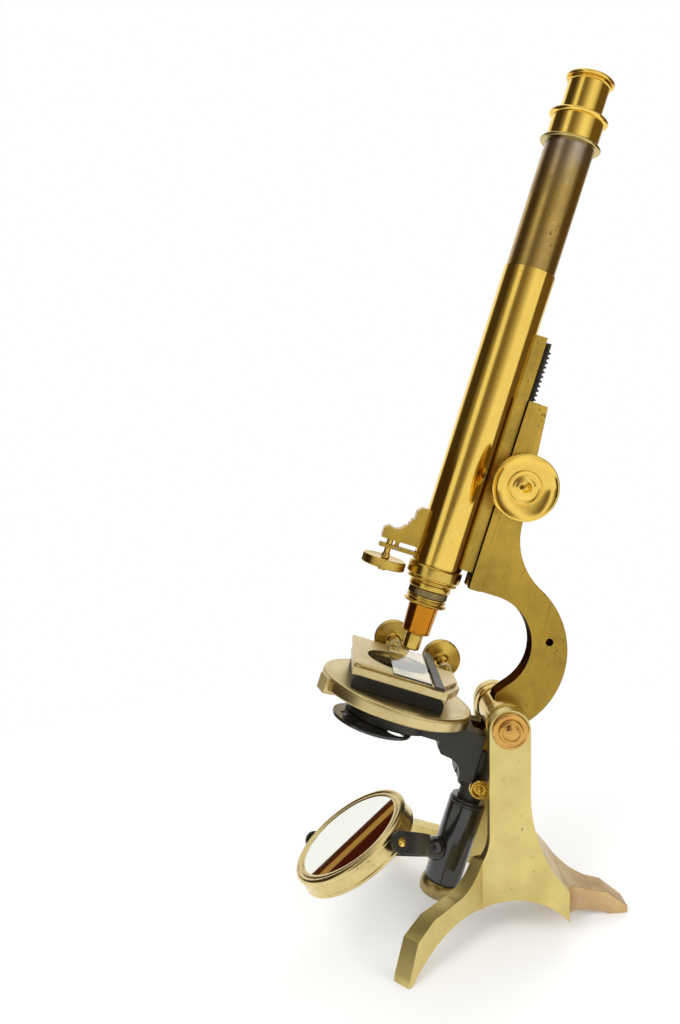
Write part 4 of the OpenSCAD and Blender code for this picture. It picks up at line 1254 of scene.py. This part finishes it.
@dataclass
class StageParts:
    """The round stage, its moving plates, their heads and the wheel of apertures. Sizes are in mm.

    Attributes:
        stage_r: radius of the stage.
        top: height of its top face.
        low: height of its lower face.
        light_r: radius of its light opening.
        boss: radius and lower end of its boss.
        heads: node, body, distance behind the axis, height and shaft length of each stage head.
        head_y: distance of the heads' inner faces from the middle.
        head_r: radius of the heads.
        wheel_screw: seat of the wheel's screw in the limb's frame.
        wheel_screw_head: radius and height of that screw's head.
    """

    stage_r: float = 52.2
    top: float = -3.3
    low: float = -12.3
    light_r: float = 11.0
    boss: Pair = (13.9, -24.7)
    heads: tuple[tuple[str, str, float, float, float], ...] = (
        ("left_head", "y_knob", -5.0, 14.5, 16.2), ("right_head", "x_knob", 33.5, 10.5, 28.5))
    head_y: float = 60.0
    head_r: float = 14.2
    wheel_screw: tuple[float, float, float] = (-11.6, -15.3, -27.1)
    wheel_screw_head: Pair = (4.0, 1.7)

    def table(self, shop: Workshop) -> None:
        """Turns the stage with its boss, a moulded rim and a scribed ring on top.

        Args:
            shop: the shared modelling steps.
        """
        r, top, low = self.stage_r, self.top, self.low
        shape = profile((self.light_r, self.boss[1]), self.boss, (self.boss[0], low),
                        (r - 1.2, low), Stroke((r, low + 1.2), -0.3, 4), (r, top - 2.5),
                        (r - 0.35, top - 2.3), (r - 0.35, top - 1.9), (r, top - 1.7),
                        Stroke((r - 1.5, top), -0.4, 5), (r - 3.2, top), (r - 3.3, top - 0.15),
                        (r - 3.5, top - 0.15), (r - 3.6, top), (self.light_r, top),
                        (self.light_r, self.boss[1]))
        shop.deliver(shop.turned(shape, shop.limb.matrix(), 160, 0.06), "stage_turned", "stage",
                     "stage_brass", ("stage_plate",))

    def milled_heads(self, shop: Workshop) -> None:
        """Turns and mills the two heads that move the plates.

        Args:
            shop: the shared modelling steps.
        """
        r = self.head_r
        for node, body, x, z, shaft in self.heads:
            shape = profile((0, -shaft), (2, -shaft), (2, -5), (4, -5), (4, -2),
                            Stroke((6, 0), 0.4, 3), (r - 0.6, 0), (r, 0.6), (r, 3.4),
                            (r - 0.5, 3.8), (r - 0.5, 4.4), (r, 4.8), (r, 6.0),
                            Stroke((r - 1.0, 7.0), -0.2, 3), Stroke((0.46 * r, 4.3), 0.75, 7),
                            (0.44 * r, 4.8), Stroke((0.34 * r, 5.6), -0.3, 4),
                            Stroke((0, 7.2), -0.4, 6))
            place = shop.limb.at(x, self.head_y, z) @ Axis.FAR.value
            shop.deliver(shop.milled(shape, place, 96, ((0.6, 3.4), (4.8, 6.0)), r, 0.2),
                         f"{node}_milled", body, "pale_lacquer", (node,))

    def wheel(self, shop: Workshop) -> None:
        """Softens the wheel of apertures and gives it a slotted screw.

        Args:
            shop: the shared modelling steps.
        """
        shop.carry_over({"aperture_wheel": 0.4}, "wheel", "black_enamel")
        place = shop.limb.at(*self.wheel_screw) @ Matrix.Rotation(math.pi, 4, "X")
        shop.deliver(shop.screw(*self.wheel_screw_head, place), "wheel_screw_head", "limb",
                     "steel")

    def build(self, shop: Workshop) -> None:
        """Builds the stage's pieces.

        Args:
            shop: the shared modelling steps.
        """
        self.table(shop)
        self.milled_heads(shop)
        shop.carry_over({"stage_grip": 0.2}, "stage", "stage_brass")
        shop.carry_over({"stage_block": 0.6}, "stage", "dull_black")
        shop.carry_over({"lower_plate": 0.25}, "x_plate", "stage_brass")
        shop.carry_over({"upper_plate": 0.2}, "y_plate", "stage_brass")
        shop.carry_over({"slip_clip": 0.3}, "clip", "clip_steel")
        shop.carry_over({"glass_slip": 0.12}, "y_plate", "lens_glass")
        self.wheel(shop)


@dataclass
class MirrorParts:
    """The sleeve on the tail, the ball joint, the fork and the mirror. Sizes are in mm.

    Attributes:
        tail_back: distance of the tail stem behind the optical axis.
        swing: turn of the mirror about the tail stem, in degrees.
        rise: rise of the arm from its ball, in degrees.
        roll: roll of the fork, in degrees.
        tilt: tilt of the mirror in its fork, in degrees.
        ball: distance of the ball from the tail stem's axis and its height.
        reach: distance from the ball to the middle of the mirror.
        sleeve_r: radius of the sleeve.
        sleeve: lower and upper end of the sleeve.
        mirror_r: radius of the mirror's cell.
        half_t: half the depth of the cell.
        fork_gap: gap between the mirror's cell and the fork.
        fork_t: thickness of the fork.
        fork_screw: radius and height of the heads of the fork's screws.
        sleeve_bore: radius of the sleeve's bore.
        liner_bore: radius of the bore of the liner on the tail stem.
    """

    tail_back: float = 69.5
    swing: float = 29.4
    rise: float = 2.8
    roll: float = 30.0
    tilt: float = 47.0
    ball: Pair = (18.5, -100.8)
    reach: float = 64.1
    sleeve_r: float = 12.6
    sleeve: Pair = (-123.0, -64.0)
    mirror_r: float = 42.0
    half_t: float = 7.0
    fork_gap: float = 4.0
    fork_t: float = 2.5
    fork_screw: Pair = (2.7, 1.5)
    sleeve_bore: float = 10.45
    liner_bore: float = 8.05

    def tail_place(self, limb: LimbFrame) -> Matrix:
        """Gives the frame of the tail stem, x towards the mirror.

        Args:
            limb: the frame of the optical axis.

        Returns:
            The placing matrix.
        """
        return limb.at(self.tail_back, 0, 0) @ Matrix.Rotation(math.radians(180 + self.swing), 4,
                                                               "Z")

    def fork_place(self, limb: LimbFrame) -> Matrix:
        """Gives the frame of the fork, x along its arm from the ball.

        Args:
            limb: the frame of the optical axis.

        Returns:
            The placing matrix.
        """
        place = self.tail_place(limb) @ Matrix.Translation((self.ball[0] * MM, 0,
                                                            self.ball[1] * MM))
        place = place @ Matrix.Rotation(math.radians(-self.rise), 4, "Y")
        return place @ Matrix.Rotation(math.radians(self.roll), 4, "X")

    def mirror_place(self, limb: LimbFrame) -> Matrix:
        """Gives the frame of the mirror, z out of its plane face.

        Args:
            limb: the frame of the optical axis.

        Returns:
            The placing matrix.
        """
        place = self.fork_place(limb) @ Matrix.Translation((self.reach * MM, 0, 0))
        return place @ Matrix.Rotation(math.radians(self.tilt), 4, "Y")

    def sleeve_pieces(self, shop: Workshop) -> None:
        """Turns the black sleeve, the ferrule below it and the black lip above it.

        Args:
            shop: the shared modelling steps.
        """
        low, high = self.sleeve
        r, bore = self.sleeve_r, self.sleeve_bore
        sleeve = profile((bore, low), (r - 0.5, low), (r, low + 0.6), (r, high - 2.6),
                         Stroke((r - 0.4, high - 2.2), 0.1, 2),
                         Stroke((r - 0.2, high - 0.6), -0.3, 4), (r - 0.8, high), (bore, high),
                         (bore, low))
        shop.deliver(shop.turned(sleeve, self.tail_place(shop.limb), 96, 0.08), "sleeve_turned",
                     "sleeve", "black_enamel", ("mirror_sleeve",))
        upright = shop.limb.at(self.tail_back, 0, 0)
        foot, bore = low - 11, self.liner_bore
        ferrule = profile((bore, foot), (12.0, foot), Stroke((13.4, foot + 1.2), -0.25, 4),
                          Stroke((14.0, low - 5), -0.1, 3), Stroke((12.7, low - 0.2), -0.3, 5),
                          (10.4, low - 0.1), (10.4, low + 2), (bore, low + 2), (bore, foot))
        shop.deliver(shop.turned(ferrule, upright, 96, 0.08), "sleeve_ferrule", "tail_slide",
                     "ferrule_brass", ("sleeve_liner",))
        lip = profile((bore, high - 3), (10.4, high - 3), (10.4, high + 0.1), (11.5, high + 0.1),
                      Stroke((11.5, high + 1.5), -0.25, 4), (bore, high + 1.5), (bore, high - 3))
        shop.deliver(shop.turned(lip, upright, 96, 0.06), "sleeve_lip", "tail_slide",
                     "black_enamel")

    def joint(self, shop: Workshop) -> None:
        """Turns the rounded black socket of the ball joint.

        Args:
            shop: the shared modelling steps.
        """
        far = self.ball[0]
        shape = profile((5.6, 10.2), (6.4, 10.2), Stroke((5.4, far + 2.3), -2.2, 14),
                        (5.1, far + 2.4), Stroke((5.6, 13.2), 0.45, 8), (5.6, 10.2))
        level = Matrix.Translation((0, 0, self.ball[1] * MM))
        place = self.tail_place(shop.limb) @ level @ Axis.BACK.value
        shop.deliver(shop.turned(shape, place, 72, 0.05), "ball_socket_turned", "sleeve",
                     "black_enamel", ("ball_socket",))

    def fork(self, shop: Workshop) -> None:
        """Softens the fork and gives it its two small brass screws and the ball's dark stud.

        Args:
            shop: the shared modelling steps.
        """
        shop.carry_over({"mirror_fork": 0.3}, "fork", "dark_bronze")
        shop.carry_over({"ball_stud": 0.1}, "fork", "black_enamel")
        outer = self.mirror_r + self.fork_gap + self.fork_t
        place = self.fork_place(shop.limb) @ Matrix.Translation((self.reach * MM, 0, 0))
        for side, axis, name in ((-1, Axis.NEAR, "near_fork_screw"),
                                 (1, Axis.FAR, "far_fork_screw")):
            spot = place @ Matrix.Translation((0, side * (outer + 0.02) * MM, 0)) @ axis.value
            shop.deliver(shop.screw(*self.fork_screw, spot, 35), name, "fork", "lacquered_brass",
                         ("fork_screws",))

    def mirror(self, shop: Workshop) -> None:
        """Turns the mirror's cell with its two rounded rims.

        Args:
            shop: the shared modelling steps.
        """
        r, t, seat = self.mirror_r, self.half_t, self.mirror_r - 3
        shape = profile((0, -2.6), (seat, -2.6), (seat, 0.9 - t), (r - 4.6, 0.9 - t),
                        (r - 4.4, 0.2 - t), Stroke((r - 0.9, 0.6 - t), -0.35, 5),
                        Stroke((r - 0.5, 2.6 - t), -0.35, 5), (r - 0.8, 3.0 - t),
                        (r - 0.8, t - 4.2), (r - 0.5, t - 3.8),
                        Stroke((r - 0.9, t - 0.9), -0.45, 6), Stroke((r - 3.8, t - 0.5), -0.55, 6),
                        (r - 4.1, t - 0.72), Stroke((r - 7.2, t - 0.8), -0.4, 6),
                        (r - 7.2, t - 0.88), (seat, t - 0.88), (seat, 2.6), (0, 2.6))
        shop.deliver(shop.turned(shape, self.mirror_place(shop.limb), 144, 0),
                     "mirror_cell_turned", "mirror", "rim_brass",
                     ("mirror_cell",))

    def build(self, shop: Workshop) -> None:
        """Builds the mirror and what carries it.

        Args:
            shop: the shared modelling steps.
        """
        self.sleeve_pieces(shop)
        self.joint(shop)
        self.fork(shop)
        self.mirror(shop)


@dataclass
class Studio:
    """Floor, lamps, world and camera.

    LAMPS gives name, place, size and power, CARDS name, place, turn, size and colour, in metres,
    watts and degrees. SCREENS gives the brightness that polished metal mirrors, by direction in
    degrees, and WARMTH the power that it is raised to in red, green and blue. BANDS gives the
    stripes that the mirror shows: name, lower and upper edge on its face in mm, and colour.
    BAND_SLOPE is their slope there and BAND_HALF half their length in mm. MIRROR_FACE
    is the height of that face above the mirror's middle, and FLOOR_CLEARS gives the distances
    between which the floor turns white, in metres.

    Attributes:
        focal_px: focal length in pixels of a frame FRAME_PX pixels high.
        place: the camera's place, in mm.
        pitch: downward pitch, in degrees.
        yaw: turn to the right, in degrees.
        roll: roll of the camera, in degrees.
    """

    focal_px: float = 891.632
    place: tuple[float, float, float] = (-76.62, -592.37, 331.8)
    pitch: float = 5.222
    yaw: float = -0.326
    roll: float = -0.945

    FRAME_PX = 1024
    SENSOR_MM = 36.0
    FLOOR_SIZE = 60
    FLOOR_Z = -0.0002
    FLOOR_GLOW = 0.22
    FLOOR_CLEARS = (0.16, 0.6)
    PLAIN_STRENGTH = 0.7
    STUDIO_STRENGTH = 1.15
    ROOF = (0.9, 0.9, 0.88)
    ROOF_FROM = 0.7
    WARMTH = (1.0, 1.12, 1.3)
    AIM = (0, 0, 0.25)
    LAMPS = (("key", (-0.9, -1.1, 1.3), (0.7, 0.9), 12), ("fill", (1.2, -0.9, 0.7), (0.7, 0.9), 7),
             ("rim", (0.5, 1.3, 1.2), (0.9, 0.9), 8))
    CARDS = (("right_screen", (0.42, 0.06, 0.3), 90, (0.46, 0.62), (0.15, 0.1, 0.045)),
             ("left_screen", (-0.55, 0.1, 0.25), -90, (0.8, 0.5), (0.05, 0.025, 0.01)))
    SCREENS = ((-180, 0.04), (-171, 0.06), (-164, 0.15), (-152, 0.27), (-142, 0.85), (-129, 0.85),
               (-121, 0.2), (-106, 0.17), (-93, 0.34), (-88, 0.42), (-80, 0.6), (-66, 0.9),
               (-48, 0.85), (-38, 0.6), (-26, 0.32), (-18, 0.17), (-8, 0.3), (4, 0.28), (14, 0.18),
               (26, 0.17), (45, 0.35), (62, 0.8), (75, 0.9), (120, 0.95), (130, 0.8), (138, 0.12),
               (146, 0.05))
    BANDS = (("brown_screen", 5.2, 13.5, (0.075, 0.014, 0.004)),
             ("gold_screen", 13.5, 21.0, (0.42, 0.22, 0.05)),
             ("dark_screen", 21.0, 62.0, (0.06, 0.008, 0.003)))
    BAND_SLOPE = 0.31
    BAND_HALF = 60
    MIRROR_FACE = 0.0061

    def camera(self) -> None:
        """Adds the camera at the photograph's viewing angle."""
        yaw, pitch, roll = (math.radians(v) for v in (self.yaw, self.pitch, self.roll))
        ahead = Vector((math.sin(yaw) * math.cos(pitch), math.cos(yaw) * math.cos(pitch),
                        -math.sin(pitch)))
        level = Vector((math.cos(yaw), -math.sin(yaw), 0))
        upward = level.cross(ahead)
        right = level * math.cos(roll) + upward * math.sin(roll)
        top = -level * math.sin(roll) + upward * math.cos(roll)
        data = bpy.data.cameras.new("camera")
        data.sensor_fit = "VERTICAL"
        data.sensor_height = self.SENSOR_MM
        data.lens = self.focal_px * self.SENSOR_MM / self.FRAME_PX
        data.clip_start = 0.01
        lens = bpy.data.objects.new("camera", data)
        bpy.context.scene.collection.objects.link(lens)
        turn = Matrix((right, top, -ahead)).transposed().to_4x4()
        lens.matrix_world = Matrix.Translation(Vector(self.place) * MM) @ turn
        bpy.context.scene.camera = lens

    def backdrop(self) -> None:
        """Adds a pale floor that runs to the horizon and keeps a soft shadow."""
        bpy.ops.mesh.primitive_plane_add(size=self.FLOOR_SIZE, location=(0, 0, self.FLOOR_Z))
        floor = bpy.context.object
        floor.name = "floor"
        paint = bpy.data.materials.new("floor_paint")
        paint.use_nodes = True
        tree = paint.node_tree
        shader = tree.nodes["Principled BSDF"]
        shader.inputs["Base Color"].default_value = (0.8, 0.8, 0.8, 1)
        shader.inputs["Roughness"].default_value = 0.9
        shader.inputs["Specular IOR Level"].default_value = 0.1
        shader.inputs["Emission Color"].default_value = (1, 1, 1, 1)
        seen = self.background_rays(tree)
        glow = NodeGroups.maths(tree, "MULTIPLY", seen, self.FLOOR_GLOW)
        tree.links.new(glow, shader.inputs["Emission Strength"])
        white = tree.nodes.new("ShaderNodeEmission")
        place = tree.nodes.new("ShaderNodeTexCoord").outputs["Object"]
        length = tree.nodes.new("ShaderNodeVectorMath")
        length.operation = "LENGTH"
        tree.links.new(place, length.inputs[0])
        away = NodeGroups.ramp(tree, length.outputs["Value"], *self.FLOOR_CLEARS)
        mix = tree.nodes.new("ShaderNodeMixShader")
        tree.links.new(NodeGroups.maths(tree, "MULTIPLY", away, seen), mix.inputs[0])
        tree.links.new(shader.outputs[0], mix.inputs[1])
        tree.links.new(white.outputs[0], mix.inputs[2])
        tree.links.new(mix.outputs[0], tree.nodes["Material Output"].inputs[0])
        floor.data.materials.append(paint)

    @staticmethod
    def background_rays(tree: object) -> object:
        """Adds a mask for the rays that show the background: seen, mirrored or let through.

        Args:
            tree: the node tree.

        Returns:
            The mask's socket.
        """
        path = tree.nodes.new("ShaderNodeLightPath")
        shown = NodeGroups.maths(tree, "MAXIMUM", path.outputs["Is Camera Ray"],
                                 path.outputs["Is Glossy Ray"])
        return NodeGroups.maths(tree, "MAXIMUM", shown, path.outputs["Is Transmission Ray"])

    def screen(self, name: str, place: tuple[float, float, float], turn: float, size: Pair,
               colour: Colour) -> None:
        """Adds a dark screen beside the instrument. Only polished surfaces show it.

        Args:
            name: the screen's name.
            place: its middle, in metres.
            turn: its turn about Z, in degrees.
            size: width and height, in metres.
            colour: its colour.
        """
        bpy.ops.mesh.primitive_plane_add(size=1, location=place,
                                         rotation=(math.radians(90), 0, math.radians(turn)))
        card = bpy.context.object
        card.name = name
        card.scale = (*size, 1)
        cloth = bpy.data.materials.new(name)
        cloth.use_nodes = True
        tree = cloth.node_tree
        tree.nodes.remove(tree.nodes["Principled BSDF"])
        shade = tree.nodes.new("ShaderNodeEmission")
        shade.inputs["Color"].default_value = (*colour, 1)
        tree.links.new(shade.outputs[0], tree.nodes["Material Output"].inputs[0])
        card.data.materials.append(cloth)
        for key in ("camera", "diffuse", "shadow", "transmission", "volume_scatter"):
            setattr(card, f"visible_{key}", False)

    def lamp(self, name: str, place: tuple[float, float, float], size: Pair, power: float) -> None:
        """Adds a soft area lamp aimed at the instrument.

        Args:
            name: the lamp's name.
            place: its place, in metres.
            size: width and height, in metres.
            power: power, in watts.
        """
        data = bpy.data.lights.new(name, "AREA")
        data.shape = "RECTANGLE"
        data.size, data.size_y = size
        data.energy = power
        lamp = bpy.data.objects.new(name, data)
        bpy.context.scene.collection.objects.link(lamp)
        lamp.location = place
        lamp.visible_glossy = False
        aim = Vector(self.AIM) - Vector(place)
        lamp.rotation_euler = aim.to_track_quat("-Z", "Y").to_euler()

    def world(self) -> None:
        """Sets a pale surrounding, in which polished metal mirrors light and dark screens."""
        world = bpy.data.worlds.new("surroundings")
        bpy.context.scene.world = world
        world.use_nodes = True
        tree = world.node_tree
        plain = tree.nodes["Background"]
        plain.inputs["Color"].default_value = (1.0, 0.99, 0.97, 1)
        plain.inputs["Strength"].default_value = self.PLAIN_STRENGTH
        split = tree.nodes.new("ShaderNodeSeparateXYZ")
        tree.links.new(tree.nodes.new("ShaderNodeTexCoord").outputs["Generated"], split.inputs[0])
        turn = NodeGroups.maths(tree, "ARCTAN2", split.outputs["Y"], split.outputs["X"])
        share = NodeGroups.maths(tree, "MULTIPLY_ADD", turn, 0.5 / math.pi)
        share.node.inputs[2].default_value = 0.5
        screens = tree.nodes.new("ShaderNodeValToRGB")
        stops = screens.color_ramp.elements
        stops.remove(stops[1])
        for index, (degrees, level) in enumerate(self.SCREENS):
            place = (degrees + 180) / 360
            stop = stops.new(place) if index else stops[0]
            stop.color = (*(min(1.0, level ** power) for power in self.WARMTH), 1)
        tree.links.new(share, screens.inputs[0])
        high = NodeGroups.ramp(tree, split.outputs["Z"], self.ROOF_FROM, 1.0)
        roof = NodeGroups.mix(tree, high, screens.outputs[0], self.ROOF)
        studio = tree.nodes.new("ShaderNodeBackground")
        studio.inputs["Strength"].default_value = self.STUDIO_STRENGTH
        tree.links.new(roof, studio.inputs["Color"])
        white = tree.nodes.new("ShaderNodeBackground")
        white.inputs["Color"].default_value = (1, 1, 1, 1)
        path = tree.nodes.new("ShaderNodeLightPath")
        mirrored = tree.nodes.new("ShaderNodeMixShader")
        tree.links.new(path.outputs["Is Glossy Ray"], mirrored.inputs[0])
        tree.links.new(plain.outputs[0], mirrored.inputs[1])
        tree.links.new(studio.outputs[0], mirrored.inputs[2])
        seen = tree.nodes.new("ShaderNodeMixShader")
        direct = NodeGroups.maths(tree, "MAXIMUM", path.outputs["Is Camera Ray"],
                                  path.outputs["Is Transmission Ray"])
        tree.links.new(direct, seen.inputs[0])
        tree.links.new(mirrored.outputs[0], seen.inputs[1])
        tree.links.new(white.outputs[0], seen.inputs[2])
        tree.links.new(seen.outputs[0], tree.nodes["World Output"].inputs[0])

    def mirrored(self, mirror: Matrix, u: float, v: float, reach: float = 0.5) -> Vector:
        """Finds the point that the camera sees in the mirror at a place of its face.

        Args:
            mirror: the mirror's placing matrix.
            u: place on the face along the fork, in mm.
            v: place on the face across the fork, in mm.
            reach: distance of the point from the mirror, in metres.

        Returns:
            The point, in metres.
        """
        face = mirror @ Vector((u * MM, v * MM, self.MIRROR_FACE))
        outward = (mirror.to_3x3() @ Vector((0, 0, 1))).normalized()
        ray = (face - Vector(self.place) * MM).normalized()
        return face + (ray - 2 * ray.dot(outward) * outward) * reach

    def mirror_screens(self, mirror: Matrix) -> None:
        """Adds the brown and gold screens that the mirror's lower part shows.

        Args:
            mirror: the mirror's placing matrix.
        """
        for name, low, high, colour in self.BANDS:
            self.screen(name, (0, 0, 0), 0, (1, 1), colour)
            card = bpy.context.scene.objects[name]
            card.matrix_world = Matrix.Identity(4)
            corners = [(u, v - self.BAND_SLOPE * u) for v in (low, high)
                       for u in (-self.BAND_HALF, self.BAND_HALF)]
            for vertex, (u, v) in zip(card.data.vertices, corners):
                vertex.co = self.mirrored(mirror, u, v)

    def build(self, mirror: Matrix) -> None:
        """Sets up the whole studio.

        Args:
            mirror: the mirror's placing matrix.
        """
        self.camera()
        self.backdrop()
        self.world()
        for card in self.CARDS:
            self.screen(*card)
        self.mirror_screens(mirror)
        for lamp in self.LAMPS:
            self.lamp(*lamp)
        bpy.context.scene.view_settings.view_transform = "Standard"


def main() -> None:
    """Builds the finishes, the pieces and the studio."""
    logging.basicConfig(level=logging.INFO)
    finishes = Finishes()
    finishes.dress_nodes()
    shop = Workshop(finishes, measured_limb())
    mirror = MirrorParts()
    for assembly in (Stand(), LimbParts(), Focusing(), Tubes(), StageParts(), mirror):
        LOG.info("building %s", type(assembly).__name__)
        assembly.build(shop)
    Studio().build(mirror.mirror_place(shop.limb))
    shop.clear()


if __name__ == "__main__":
    main()
